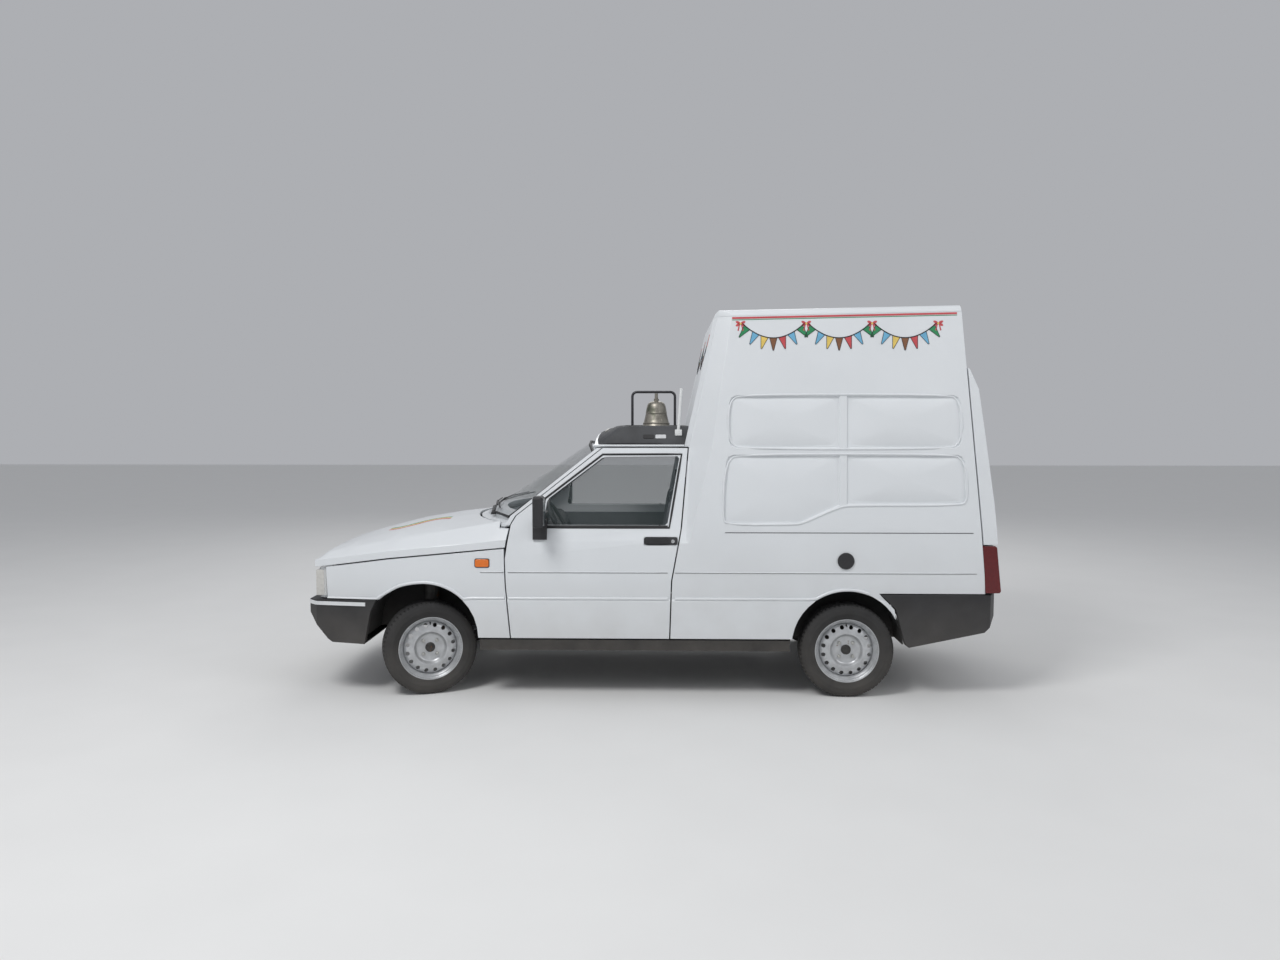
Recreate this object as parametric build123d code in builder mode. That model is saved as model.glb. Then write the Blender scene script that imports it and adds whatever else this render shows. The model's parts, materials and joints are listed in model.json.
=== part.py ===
"""Ice cream truck: a small van with a tall moulded box, a bell on the cab roof and steel wheels.

Millimetres. +X runs to the rear, +Y to the vehicle's right and +Z up. The origin is on the ground, half
way along the vehicle and on its centre plane. The front wheels stand turned to the vehicle's left.
"""

from build123d import *
from math import cos, pi, radians, sin, tan
import os

os.makedirs("parts", exist_ok=True)

# Overall sizes
FRONT_OVERHANG = 746
WHEELBASE = 2577
REAR_OVERHANG = 917
HALF_WIDTH = 811  # at the crease along the side
NOSE = -(FRONT_OVERHANG + WHEELBASE + REAR_OVERHANG) / 2
TAIL = -NOSE
AXLE_F = NOSE + FRONT_OVERHANG
AXLE_R = TAIL - REAR_OVERHANG

# Clearances
GAP = 8  # shut line between moving panels
SEAT = 0.4  # between pieces that are fastened together
RUN = 0.05  # round a shaft in its bore
REACH = 1200  # longer than any cut goes sideways
OVER_Z = 2500  # higher than the vehicle

# Heights and half widths of the pressed steel side
SILL_Z = 360
SILL_Y = HALF_WIDTH - 16
LIP_Z = 600  # a small ledge along the flank
LIP_H = 10
LIP_OUT_Y = HALF_WIDTH - 8
LIP_IN_Y = HALF_WIDTH - 18
CREASE_Z = 765
SHOULDER_Z = 942
SHOULDER_Y = HALF_WIDTH - 7
BELT_Z = 1034
BELT_Y = HALF_WIDTH - 43
CAB_TOP_Z = 1506
CAB_TOP_Y = HALF_WIDTH - 171
SKIN = 36  # a body wall with its inner panel

# Places along the cab
DOOR_FRONT = AXLE_F + 545
DOOR_REAR = AXLE_F + 1501
DOOR_T = 62  # a cab door below its window
FRAME_T = 38  # and beside it
BULKHEAD_T = 24
BULKHEAD_X = DOOR_REAR + 111

# Moulded box
SEAM_Z = BELT_Z  # it stands on the steel side here
BOX_T = 34
BOX_TOP_Y = HALF_WIDTH - 76
BOX_TOP_FRONT_Z = 2292  # top of the side at its front end
BOX_TOP_REAR_Z = 2320
BOX_REAR = AXLE_R + 655  # rear end of the side at the roof
BOX_LEAN = 154  # how far the foot of that edge is behind its head
REAR_LOW_Z = 646
BOX_LOFT_Z = 2360  # upper end of the leaning faces before they are cut to the roof's slope
ROOF_EDGE_H = 40
ROOF_CROWN = 42

# Wheels
TYRE_R = 283
TYRE_W = 165
TRACK_HALF = 692
RIM_R = 194
HUB_R = 52
SPINDLE_R = 22
VENTS = 16
KINGPIN_Y = 625
KINGPIN_R = 12
KNUCKLE_H = 98
STEER_REST = 20  # degrees to the left

# Floor
FLOOR_Z = 350
FLOOR_T = 20
LOAD_Z = 612
LOAD_T = 30
SILL_LOW_Z = 287
RAIL_Y = 405
RAIL_W = 50

# Cab door outline: x from the foot of each line, height
DOOR_FRONT_LINE = (
    (0, SILL_Z),
    (-27, 666),
    (-31, 848),
    (-1, BELT_Z + 9),
    (31, BELT_Z + 64),
    (549, CAB_TOP_Z),
)
DOOR_REAR_LINE = ((0, SILL_Z), (11, 713), (45, 900), (68, 1018), (113, CAB_TOP_Z))

# Outer face of the steel side: half width, height
FLANK = (
    (SILL_Y, SILL_Z),
    (LIP_OUT_Y, LIP_Z - LIP_H),
    (LIP_IN_Y, LIP_Z),
    (HALF_WIDTH, CREASE_Z),
    (SHOULDER_Y, SHOULDER_Z),
)
CAB_SIDE = FLANK + ((BELT_Y, BELT_Z), (CAB_TOP_Y, CAB_TOP_Z))
BOX_FOOT = FLANK[:4] + ((HALF_WIDTH, SHOULDER_Z),)

# How the plan of the nose draws in: x, share of the full width
NOSE_PLAN = (
    (NOSE + 60, 0.915),
    (NOSE + 105, 0.925),
    (AXLE_F - 326, 0.975),
    (AXLE_F, 0.995),
    (DOOR_FRONT - 60, 1.0),
    (DOOR_FRONT + 10, 1.0),
)


def face_xz(points):
    """A face on (x, z) points in the vehicle's centre plane."""
    with BuildSketch(Plane.XZ) as sketch:
        with BuildLine():
            Polyline(*points, close=True)
        make_face()
    return sketch.sketch


def face_yz(points, x=0):
    """A face on (y, z) points across the vehicle."""
    with BuildSketch(Plane.YZ.offset(x)) as sketch:
        with BuildLine():
            Polyline(*points, close=True)
        make_face()
    return sketch.sketch


def face_xy(points, z=0):
    """A level face on (x, y) points."""
    with BuildSketch(Plane.XY.offset(z)) as sketch:
        with BuildLine():
            Polyline(*points, close=True)
        make_face()
    return sketch.sketch


def flats(start, middle, end, steps=6):
    """Points along an arc through three points, for a surface made of flat facets."""
    curve = Edge.make_three_point_arc((*start, 0), (*middle, 0), (*end, 0))
    points = [curve.position_at(step / steps) for step in range(steps + 1)]
    return [(point.X, point.Y) for point in points]


def mirrored_yz(points):
    """(half width, height) points of one side, made into an outline across the vehicle."""
    return [(-y, z) for y, z in points] + [(y, z) for y, z in points[::-1]]


def drum_faces(rows, sides, centre_x=0):
    """Flat-sided rounds at (radius, z) rows, from which a drum is lofted."""
    faces = []
    for radius, z in rows:
        with BuildSketch(Plane.XY.offset(z)) as sketch:
            with Locations((centre_x, 0)):
                RegularPolygon(radius, sides)
        faces.append(sketch.sketch)
    return faces


def wall_slice(profile, thickness, x, share=1.0):
    """A slice across the left wall, from its outer profile inwards."""
    outer = [(-y * share, z) for y, z in profile]
    inner = [(y + thickness, z) for y, z in reversed(outer)]
    return face_yz(outer + inner, x)


def mirrored(points):
    """Points given for the left half, then the same on the right."""
    return list(points) + [(x, -y) for x, y in reversed(points)]


def between(table, value):
    """The second column of a table at a value of its first column, and on past its ends."""
    for (a, fa), (b, fb) in zip(table, table[1:]):
        if value <= b:
            break
    return fa + (value - a) * (fb - fa) / (b - a)


def rear_edge(z):
    """x of the rear edge of the side at a height."""
    return BOX_REAR + BOX_LEAN * (BOX_TOP_REAR_Z - z) / (BOX_TOP_REAR_Z - REAR_LOW_Z)


def box_y(z):
    """Half width of the moulded box at a height."""
    return HALF_WIDTH - (HALF_WIDTH - BOX_TOP_Y) * (z - SEAM_Z) / (BOX_TOP_REAR_Z - SEAM_Z)


def cab_y(z):
    """Half width of the cab's glazed part at a height."""
    return BELT_Y - (BELT_Y - CAB_TOP_Y) * (z - BELT_Z) / (CAB_TOP_Z - BELT_Z)


def door_front(z):
    """x of the front edge of the cab door at a height."""
    return DOOR_FRONT + between([(height, dx) for dx, height in DOOR_FRONT_LINE], z)


def door_rear(z):
    """x of the rear edge of the cab door at a height."""
    return DOOR_REAR + between([(height, dx) for dx, height in DOOR_REAR_LINE], z)


# Windscreen: height, x at the middle, x at the side, half width
SCREEN_LOW = (1050, NOSE + 1001, NOSE + 1241, 690)
SCREEN_HIGH = (1620, NOSE + 1857, NOSE + 1986, 573)
GLASS_T = 10  # measured along the vehicle
SCREEN_FRAME_T = 52
SCREEN_EDGE = ((690, 1064), (606, 1474))  # half width and height of its lower and upper corners
SCREEN_CROWN = (1072, 1550)  # height of its lower and upper edge at the middle


def screen_slice(level, front, back, trim=0):
    """A level slice of the windscreen's band, between two distances behind its outer face."""
    z, x_mid, x_side, half = level
    half = half - trim
    outline = flats((x_side + front, -half), (x_mid + front, 0), (x_side + front, half), 8)
    outline += flats((x_side + back, half), (x_mid + back, 0), (x_side + back, -half), 8)
    return face_xy(outline, z)


def screen_outline(inset):
    """The windscreen seen from the front, drawn in by an inset all round."""
    (low_y, low_z), (high_y, high_z) = SCREEN_EDGE
    low_mid, high_mid = SCREEN_CROWN
    low = (low_y - inset, low_z + inset)
    high = (high_y - inset, high_z - inset)
    outline = flats((-low[0], low[1]), (0, low_mid + inset), low)
    outline += flats(high, (0, high_mid - inset), (-high[0], high[1]))
    return face_yz(outline, NOSE)


# Cab roof
ROOF_T = 26
ROOF_EDGE_Y = CAB_TOP_Y - 8
ROOF_EDGE_Z = CAB_TOP_Z + GAP
ROOF_MID_Z = ROOF_EDGE_Z + 76
ROOF_FRONT = NOSE + 1785
CANT_Y = cab_y(CAB_TOP_Z) - FRAME_T - 6  # inner rail that the door frame closes against


def roof_slice(x, drop, floor_z):
    """The space under the cab roof's outer face, lowered by a drop, down to a level."""
    edge = ROOF_EDGE_Z - drop
    outline = flats((-ROOF_EDGE_Y, edge), (0, ROOF_MID_Z - drop), (ROOF_EDGE_Y, edge))
    return face_yz(outline + [(ROOF_EDGE_Y, floor_z), (-ROOF_EDGE_Y, floor_z)], x)


# Box front and corner plates: height, then (x, half width) of the door side, the fold and the box side
BOX_FRONT_LOW = ROOF_EDGE_Z - 2
SHOULDER_EDGE = door_rear(SHOULDER_Z) + GAP
BELT_EDGE = door_rear(BELT_Z) + GAP
CAB_TOP_EDGE = door_rear(CAB_TOP_Z) + GAP
SIDE_FRONT = AXLE_F + 1755  # front edge of the box side beside the top of the door
CORNER = (
    (SHOULDER_Z, (SHOULDER_EDGE, SHOULDER_Y), (AXLE_F + 1600, SHOULDER_Y), (AXLE_F + 1620, HALF_WIDTH)),
    (BELT_Z, (BELT_EDGE, BELT_Y), (AXLE_F + 1606, BELT_Y + 2), (AXLE_F + 1642, HALF_WIDTH)),
    (CAB_TOP_Z, (CAB_TOP_EDGE, CAB_TOP_Y), (AXLE_F + 1628, CAB_TOP_Y + 2), (SIDE_FRONT, box_y(CAB_TOP_Z))),
    (BOX_LOFT_Z, (AXLE_F + 1804, 706), (AXLE_F + 1810, 708), (AXLE_F + 1880, box_y(BOX_LOFT_Z))),
)
FRONT_PLATE_LOW = (BOX_FRONT_LOW, AXLE_F + 1593, 606)  # height, x and half width of its flat part
FRONT_PLATE_HIGH = (BOX_LOFT_Z, AXLE_F + 1785, 674)


def corner_at(z, column):
    """(x, half width) of one edge of the corner plate at a height."""
    x = between([(row[0], row[column][0]) for row in CORNER], z)
    y = between([(row[0], row[column][1]) for row in CORNER], z)
    return x, y


def top_z(x):
    """Height of the top of the box side along the vehicle."""
    slope = (BOX_TOP_REAR_Z - BOX_TOP_FRONT_Z) / (BOX_REAR - SIDE_FRONT)
    return BOX_TOP_REAR_Z + slope * (x - BOX_REAR)


def above_side():
    """The space over the sloping top of the box sides, seen from the side."""
    ends = (AXLE_F, TAIL)
    return face_xz([(x, top_z(x)) for x in ends] + [(x, OVER_Z) for x in ends[::-1]])


# Cab doors
DOOR_WINDOW = (  # x from the foot of the front line, height
    (192, BELT_Z + 8),
    (217, 1196),
    (556, 1453),
    (1020, 1457),
    (944, BELT_Z + 8),
)
HANDLE_X = DOOR_REAR - 50
HANDLE_Z = 952

with BuildPart() as cab_door_left:
    shell = [(-y, z) for y, z in CAB_SIDE]
    lining = [(y + DOOR_T, z) for y, z in shell[:5]] + [(y + FRAME_T, z) for y, z in shell[5:]]
    extrude(face_yz(shell + lining[::-1], DOOR_FRONT - 80), amount=DOOR_REAR - DOOR_FRONT + 300)
    front_line = [(DOOR_FRONT + dx, z) for dx, z in DOOR_FRONT_LINE]
    rear_line = [(DOOR_REAR + dx, z) for dx, z in DOOR_REAR_LINE]
    extrude(face_xz(front_line + rear_line[::-1]), amount=REACH, both=True, mode=Mode.INTERSECT)
    with BuildSketch(Plane.XZ) as window_hole:
        with BuildLine():
            Polyline(*[(DOOR_FRONT + dx, z) for dx, z in DOOR_WINDOW], close=True)
        make_face()
        chamfer(window_hole.vertices(), 14)
    extrude(amount=REACH, mode=Mode.SUBTRACT)
    with BuildSketch(Plane.XZ.offset(HALF_WIDTH + 20)) as handle_dish:
        with Locations((HANDLE_X, HANDLE_Z)):
            RectangleRounded(206, 52, 12)
    extrude(amount=-46, mode=Mode.SUBTRACT)
cab_door_left.part.label = "cab_door_left"
export_step(cab_door_left.part, "parts/cab_door_left.step")

with BuildPart() as cab_door_right:
    mirror(cab_door_left.part, about=Plane.XZ)
cab_door_right.part.label = "cab_door_right"
export_step(cab_door_right.part, "parts/cab_door_right.step")

# Door glass, in the middle of the frame's thickness
DOOR_GLASS_T = 5
with BuildPart() as door_glass_left:
    deep = (FRAME_T - DOOR_GLASS_T) / 2
    pane = [(-cab_y(z) + deep, z) for z in (BELT_Z, CAB_TOP_Z)]
    pane += [(y + DOOR_GLASS_T, z) for y, z in pane[::-1]]
    extrude(face_yz(pane, DOOR_FRONT), amount=DOOR_REAR - DOOR_FRONT + 200)
    with BuildSketch(Plane.XZ):
        add(offset(window_hole.sketch, amount=-SEAT, mode=Mode.PRIVATE))
    extrude(amount=REACH, mode=Mode.INTERSECT)
door_glass_left.part.label = "door_glass_left"
export_step(door_glass_left.part, "parts/door_glass_left.step")

with BuildPart() as door_glass_right:
    mirror(door_glass_left.part, about=Plane.XZ)
door_glass_right.part.label = "door_glass_right"
export_step(door_glass_right.part, "parts/door_glass_right.step")

# Mirrors, tall heads on a low arm
MIRROR_X = DOOR_FRONT + 187
with BuildPart() as mirror_left:
    with Locations((MIRROR_X, -HALF_WIDTH - 94, 1137)):
        Box(62, 122, 184)
    chamfer(mirror_left.edges(), 12)
    with Locations((MIRROR_X + 4, -HALF_WIDTH - 20, 1060)):
        Box(34, 130, 40)
    with Locations((MIRROR_X - 8, -HALF_WIDTH + 24, 1020)):
        Box(84, 52, 118)
    extrude(face_yz(shell + [(0, CAB_TOP_Z), (0, SILL_Z)], DOOR_FRONT), amount=REACH, mode=Mode.SUBTRACT)
mirror_left.part.label = "mirror_left"
export_step(mirror_left.part, "parts/mirror_left.step")

with BuildPart() as mirror_right:
    mirror(mirror_left.part, about=Plane.XZ)
mirror_right.part.label = "mirror_right"
export_step(mirror_right.part, "parts/mirror_right.step")

# Bonnet: x, share of the full width, height of its side edge, shoulder (half width, height), middle
BONNET_T = 24
BONNET = (
    (NOSE + 84, 0.92, 782, 660, 826, 846),
    (NOSE + 140, 0.93, 789, 655, 868, 892),
    (NOSE + 267, 0.953, 806, 655, 892, 930),
    (NOSE + 545, 0.981, 843, 668, 940, 1004),
    (NOSE + 821, 0.996, 870, 684, 990, 1048),
    (DOOR_FRONT - 10, 1.0, 914, 721, 1068, 1093),
)


def shut_z(x):
    """Height of the bonnet's side edge along the nose."""
    return between([(row[0], row[2]) for row in BONNET], x)


def bonnet_slice(row, drop=0, floor_z=None):
    """A slice across the bonnet, or across the space under it when it has a floor."""
    x, share, edge_z, shoulder_y, shoulder_z, mid_z = row
    side = LIP_OUT_Y * share + 4 - drop
    top = edge_z + 44
    low = floor_z if floor_z else edge_z
    shoulder = (shoulder_y - drop / 2, shoulder_z - drop)
    outline = [(-side, low), (-side, top - drop)]
    outline += flats((-shoulder[0], shoulder[1]), (0, mid_z - drop), shoulder)
    return face_yz(outline + [(side, top - drop), (side, low)], x)


def bonnet_under(x, y):
    """Height of the bonnet's underside."""
    row = [between([(level[0], level[column]) for level in BONNET], x) for column in range(6)]
    shoulder = (row[3] - BONNET_T / 2, row[4] - BONNET_T)
    return between(flats((-shoulder[0], shoulder[1]), (0, row[5] - BONNET_T), shoulder), y)


def screen_foot(ahead):
    """The plan line across the foot of the windscreen, a distance ahead of the glass."""
    z, x_mid, x_side, half = SCREEN_LOW
    with BuildSketch(Plane.XY.offset(0)) as sketch:
        with BuildLine():
            ThreePointArc((x_side - ahead, -half), (x_mid - ahead, 0), (x_side - ahead, half))
            Polyline(
                (x_side - ahead, half),
                (x_side - ahead + 10, REACH),
                (x_side + REACH, REACH),
                (x_side + REACH, -REACH),
                (x_side - ahead + 10, -REACH),
                (x_side - ahead, -half),
            )
        make_face()
    return sketch.sketch


def door_sweep():
    """Where the front edge of the door swings, and all behind it, seen from the side."""
    edge = [(door_front(z) - GAP - 3, z) for z in (DOOR_FRONT_LINE[2][1], DOOR_FRONT_LINE[3][1])]
    return face_xz([*edge, (edge[1][0], OVER_Z), (TAIL, OVER_Z), (TAIL, edge[0][1])])


COWL_Z = SCREEN_LOW[0] + 4
COWL_T = 24
with BuildPart() as bonnet:
    loft([bonnet_slice(row) for row in BONNET], ruled=True)
    loft([bonnet_slice(row, BONNET_T, 500) for row in BONNET], ruled=True, mode=Mode.SUBTRACT)
    extrude(door_sweep(), amount=REACH, both=True, mode=Mode.SUBTRACT)
    foot_hole = extrude(screen_foot(24), amount=300, mode=Mode.PRIVATE)
    add(foot_hole.moved(Location((0, 0, 1022))), mode=Mode.SUBTRACT)
bonnet.part.label = "bonnet"
export_step(bonnet.part, "parts/bonnet.step")

# Wheel arches seen from the side
ARCH_F = (AXLE_F + 15, 361)
ARCH_F_R = 330
ARCH_R = (AXLE_R - 7, 324)
ARCH_R_R = 331

with BuildSketch(Plane.XZ, mode=Mode.PRIVATE) as front_arch:
    with BuildLine():
        x, z = ARCH_F
        half = ARCH_F_R * cos(pi / 4)
        rear = flats((x + ARCH_F_R, z), (x + half, z + half), (x, z + ARCH_F_R), 8)
        front = flats((x, z + ARCH_F_R), (x - 150, z + ARCH_F_R - 24), (x - 283, z + 219), 6)
        Polyline(*rear, *front[1:], (x - 420, 0), (x + ARCH_F_R, 0), close=True)
    make_face()

with BuildSketch(Plane.XZ, mode=Mode.PRIVATE) as rear_arch:
    with Locations(ARCH_R):
        RegularPolygon(ARCH_R_R, 40)

# Wings
BUMPER_F_TOP = 590
LAMP_BACK = NOSE + 157
with BuildPart() as wings:
    loft([wall_slice(FLANK, SKIN, x, share) for x, share in NOSE_PLAN], ruled=True)
    edge = [(DOOR_FRONT + dx - GAP, z) for dx, z in DOOR_FRONT_LINE[:3]]
    outline = [
        (LAMP_BACK, BUMPER_F_TOP + SEAT),
        (LAMP_BACK, shut_z(LAMP_BACK) - GAP),
        (NOSE + 545, shut_z(NOSE + 545) - GAP),
        (edge[2][0], shut_z(edge[2][0]) - GAP),
    ]
    outline += edge[::-1] + [(AXLE_F, SILL_Z), (AXLE_F, BUMPER_F_TOP + SEAT)]
    extrude(face_xz(outline), amount=REACH, both=True, mode=Mode.INTERSECT)
    extrude(front_arch.sketch, amount=REACH, mode=Mode.SUBTRACT)
    mirror(about=Plane.XZ)
wings.part.label = "wings"
export_step(wings.part, "parts/wings.step")

# Front bumper
BUMPER_T = 42
BUMPER_F_REAR = AXLE_F - 267
BUMPER_F_SIDE = (  # x from the nose, height
    (473, BUMPER_F_TOP),
    (36, BUMPER_F_TOP - 10),
    (8, BUMPER_F_TOP - 27),
    (0, BUMPER_F_TOP - 60),
    (24, 502),
    (161, 341),
    (190, 322),
    (395, 316),
    (435, 515),
)


def bumper_plan(inset, z=0):
    """The nose in plan, drawn in by an inset."""
    corner_y = 0.92 * HALF_WIDTH
    with BuildSketch(Plane.XY.offset(z)) as sketch:
        with BuildLine():
            corner = (NOSE + 30 + inset, corner_y - 60)
            ThreePointArc((corner[0], -corner[1]), (NOSE + inset, 0), corner)
            Polyline(
                (NOSE + 30 + inset, corner_y - 60),
                (NOSE + 90 + inset, corner_y - inset),
                (AXLE_F - 326, 0.98 * HALF_WIDTH - inset),
                (AXLE_F, HALF_WIDTH - inset),
                (AXLE_F, -HALF_WIDTH + inset),
                (AXLE_F - 326, -0.98 * HALF_WIDTH + inset),
                (NOSE + 90 + inset, -corner_y + inset),
                (NOSE + 30 + inset, -corner_y + 60),
            )
        make_face()
    return sketch.sketch


with BuildPart() as bumper_core:
    extrude(bumper_plan(BUMPER_T), amount=900)
    core = [(NOSE + dx + BUMPER_T, z) for dx, z in BUMPER_F_SIDE[2:6]]
    ledge_z = BUMPER_F_TOP - 24
    core = [(LAMP_BACK - 8, OVER_Z), (LAMP_BACK - 8, ledge_z), (core[0][0], ledge_z)] + core[1:]
    core += [(AXLE_F, 280), (AXLE_F, OVER_Z)]
    extrude(face_xz(core), amount=REACH, both=True, mode=Mode.INTERSECT)

with BuildPart() as front_bumper:
    extrude(bumper_plan(0), amount=900)
    bumper_side = face_xz([(NOSE + dx, z) for dx, z in BUMPER_F_SIDE])
    extrude(bumper_side, amount=REACH, both=True, mode=Mode.INTERSECT)
    add(bumper_core.part, mode=Mode.SUBTRACT)
front_bumper.part.label = "front_bumper"
export_step(front_bumper.part, "parts/front_bumper.step")

# Windscreen
with BuildPart() as windscreen:
    loft([screen_slice(SCREEN_LOW, 0, GLASS_T), screen_slice(SCREEN_HIGH, 0, GLASS_T)], ruled=True)
    extrude(screen_outline(0), amount=REACH + 900, mode=Mode.INTERSECT)
windscreen.part.label = "windscreen"
export_step(windscreen.part, "parts/windscreen.step")

# The bonnet with room round it, which the cab keeps clear of
with BuildPart() as bonnet_zone:
    loft([bonnet_slice(row) for row in BONNET], ruled=True)
    loft([bonnet_slice(row, BONNET_T + GAP, 500) for row in BONNET], ruled=True, mode=Mode.SUBTRACT)
    foot_hole = extrude(screen_foot(24 - GAP), amount=300, mode=Mode.PRIVATE)
    add(foot_hole.moved(Location((0, 0, 1022 + GAP))), mode=Mode.SUBTRACT)

# The windscreen with the space in front of it
with BuildPart() as screen_space:
    loft([screen_slice(level, -80, GLASS_T + SEAT) for level in (SCREEN_LOW, SCREEN_HIGH)], ruled=True)
    extrude(screen_outline(-1), amount=REACH + 900, mode=Mode.INTERSECT)

# Cab shell: roof, screen frame, pillars, cowl and bulkhead
PILLAR_FRONT = DOOR_FRONT - 146
PILLAR_REAR = DOOR_FRONT - 45
PILLAR_IN = 690
PILLAR_OUT = LIP_IN_Y - SKIN - 6
STRIKER_Z = HANDLE_Z
post_front = [(DOOR_FRONT + dx, z) for dx, z in DOOR_FRONT_LINE[3:]]
post_band = [(x - GAP, z) for x, z in post_front] + [(x - GAP - 28, z) for x, z in post_front[::-1]]
post_rebate = [(x + 44, z) for x, z in post_front] + [(x - GAP - 28, z) for x, z in post_front[::-1]]
with BuildPart() as screen_frame:
    rear_face = GLASS_T + SEAT + SCREEN_FRAME_T
    loft(
        [screen_slice(level, GLASS_T + SEAT, rear_face, 14) for level in (SCREEN_LOW, SCREEN_HIGH)],
        ruled=True,
    )
    extrude(screen_outline(44), amount=REACH + 900, mode=Mode.SUBTRACT)
    with BuildSketch(Plane.YZ.offset(NOSE)):
        with Locations((0, 1600)):
            Rectangle(2 * ROOF_EDGE_Y, 400)
        add(roof_slice(NOSE, 4, 900), mode=Mode.SUBTRACT)
    extrude(amount=REACH + 900, mode=Mode.SUBTRACT)

# Screen pillars: a flange beside the glass and a rebate behind the door frame
levels = (BELT_Z - 6, CAB_TOP_Z)
with BuildPart() as pillar_flange:
    flange = [(cab_y(z), z) for z in levels] + [(cab_y(z) - 62, z) for z in levels[::-1]]
    extrude(face_yz(flange, NOSE), amount=TAIL)
    extrude(face_xz(post_band), amount=REACH, both=True, mode=Mode.INTERSECT)
    mirror(about=Plane.XZ)

with BuildPart() as pillar_rebate:
    rebate = [(cab_y(z) - 46, z) for z in levels] + [(cab_y(z) - 86, z) for z in levels[::-1]]
    extrude(face_yz(rebate, NOSE), amount=TAIL)
    extrude(face_xz(post_rebate), amount=REACH, both=True, mode=Mode.INTERSECT)
    mirror(about=Plane.XZ)

# Cowl under the screen
with BuildPart() as cowl:
    extrude(screen_foot(8).moved(Location((0, 0, COWL_Z - COWL_T))), amount=COWL_T)
    cowl_rear = DOOR_FRONT - 18
    cowl_side = [(NOSE, COWL_Z - COWL_T), (cowl_rear, COWL_Z - COWL_T), (cowl_rear, COWL_Z), (NOSE, COWL_Z)]
    extrude(face_xz(cowl_side), amount=cab_y(COWL_Z) - FRAME_T - 4, both=True, mode=Mode.INTERSECT)

with BuildPart() as cab_shell:
    # Roof with its cant rails
    roof_length = BULKHEAD_X - ROOF_FRONT
    extrude(roof_slice(ROOF_FRONT, 0, ROOF_EDGE_Z - ROOF_T), amount=roof_length + 4)
    extrude(roof_slice(ROOF_FRONT, ROOF_T, ROOF_EDGE_Z - 90), amount=roof_length, mode=Mode.SUBTRACT)
    door_top = [(y, ROOF_EDGE_Z) for y in (ROOF_EDGE_Y + 9, CANT_Y)]
    door_top += [(y, 1400) for y in (CANT_Y, ROOF_EDGE_Y + 9)]
    for side in (-1, 1):
        extrude(face_yz([(side * y, z) for y, z in door_top], NOSE), amount=2 * TAIL, mode=Mode.SUBTRACT)
        rail = [(CANT_Y, ROOF_EDGE_Z + 4), (CANT_Y - 34, ROOF_EDGE_Z + 4)]
        rail += [(CANT_Y - 26, 1466), (CANT_Y, 1466)]
        extrude(face_yz([(side * y, z) for y, z in rail], ROOF_FRONT + 30), amount=roof_length - 20)
    add(pillar_flange.part)
    add(pillar_rebate.part)
    add(screen_frame.part)
    add(cowl.part)
    # Door pillars with hinge leaves, narrower under the bonnet's shoulder
    posts = (  # front, width, foot, head
        (PILLAR_FRONT, PILLAR_OUT - PILLAR_IN, FLOOR_Z + SEAT, 920),
        (PILLAR_REAR - 30, 30, 900, COWL_Z - 4),
    )
    for side in (-1, 1):
        for front, width, foot_z, head_z in posts:
            y = side * (PILLAR_IN + width / 2)
            with Locations(((front + PILLAR_REAR) / 2, y, (foot_z + head_z) / 2)):
                Box(PILLAR_REAR - front, width, head_z - foot_z)
        for low_z in (600, 800):
            high_z = low_z + 46
            leaf = [(PILLAR_REAR - 10, low_z), (door_front(low_z) - SEAT, low_z)]
            leaf += [(door_front(high_z) - SEAT, high_z), (PILLAR_REAR - 10, high_z)]
            with BuildSketch(Plane.XZ.offset(-side * (PILLAR_OUT - 24))):
                with BuildLine():
                    Polyline(*leaf, close=True)
                make_face()
            extrude(amount=-side * 24)
    # Bulkhead, which the doors latch on
    inner = [(y - DOOR_T - 4, z) for y, z in CAB_SIDE[:5]] + [(y - FRAME_T - 4, z) for y, z in CAB_SIDE[5:]]
    inner = [(inner[0][0], FLOOR_Z + SEAT)] + inner[1:]
    extrude(face_yz(inner + [(-y, z) for y, z in inner[::-1]], BULKHEAD_X), amount=BULKHEAD_T)
    for side in (-1, 1):
        face_y = SHOULDER_Y - DOOR_T - SEAT
        striker_x = door_rear(STRIKER_Z) - 40
        with Locations(((striker_x + BULKHEAD_X) / 2, side * (face_y - 24), SHOULDER_Z - 60)):
            Box(BULKHEAD_X - striker_x, 48, 60)
    add(bonnet_zone.part, mode=Mode.SUBTRACT)
    add(screen_space.part, mode=Mode.SUBTRACT)
cab_shell.part.label = "cab_shell"
export_step(cab_shell.part, "parts/cab_shell.step")

# Steel side and moulded box wall, one shell a side
BUMPER_R_TOP = 634
BUMPER_R_FRONT = AXLE_R + 180
REAR_FLANK_Z = BUMPER_R_TOP + 6
RECESS = 11
UPPER_RECESS = (
    (BULKHEAD_X + 243, 1509),
    (BOX_REAR + 4, 1509),
    (BOX_REAR - 6, 1825),
    (BULKHEAD_X + 245, 1825),
)
LOWER_RECESS = (
    (BULKHEAD_X + 207, 1057),
    (AXLE_R - 299, 1060),
    (AXLE_R - 50, 1174),
    (BOX_REAR + 40, 1175),
    (BOX_REAR + 18, 1471),
    (BULKHEAD_X + 228, 1471),
)
RIB = (AXLE_R - 62, 41)  # front of the upright rib and its width


def box_wall_plane():
    """The outer face of the left moulded wall, with its x along the vehicle."""
    lean = Vector(0, HALF_WIDTH - BOX_TOP_Y, BOX_TOP_REAR_Z - SEAM_Z).normalized()
    normal = Vector(0, -lean.Z, lean.Y)
    return Plane(origin=(0, -HALF_WIDTH, SEAM_Z), x_dir=(1, 0, 0), z_dir=normal)


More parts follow.
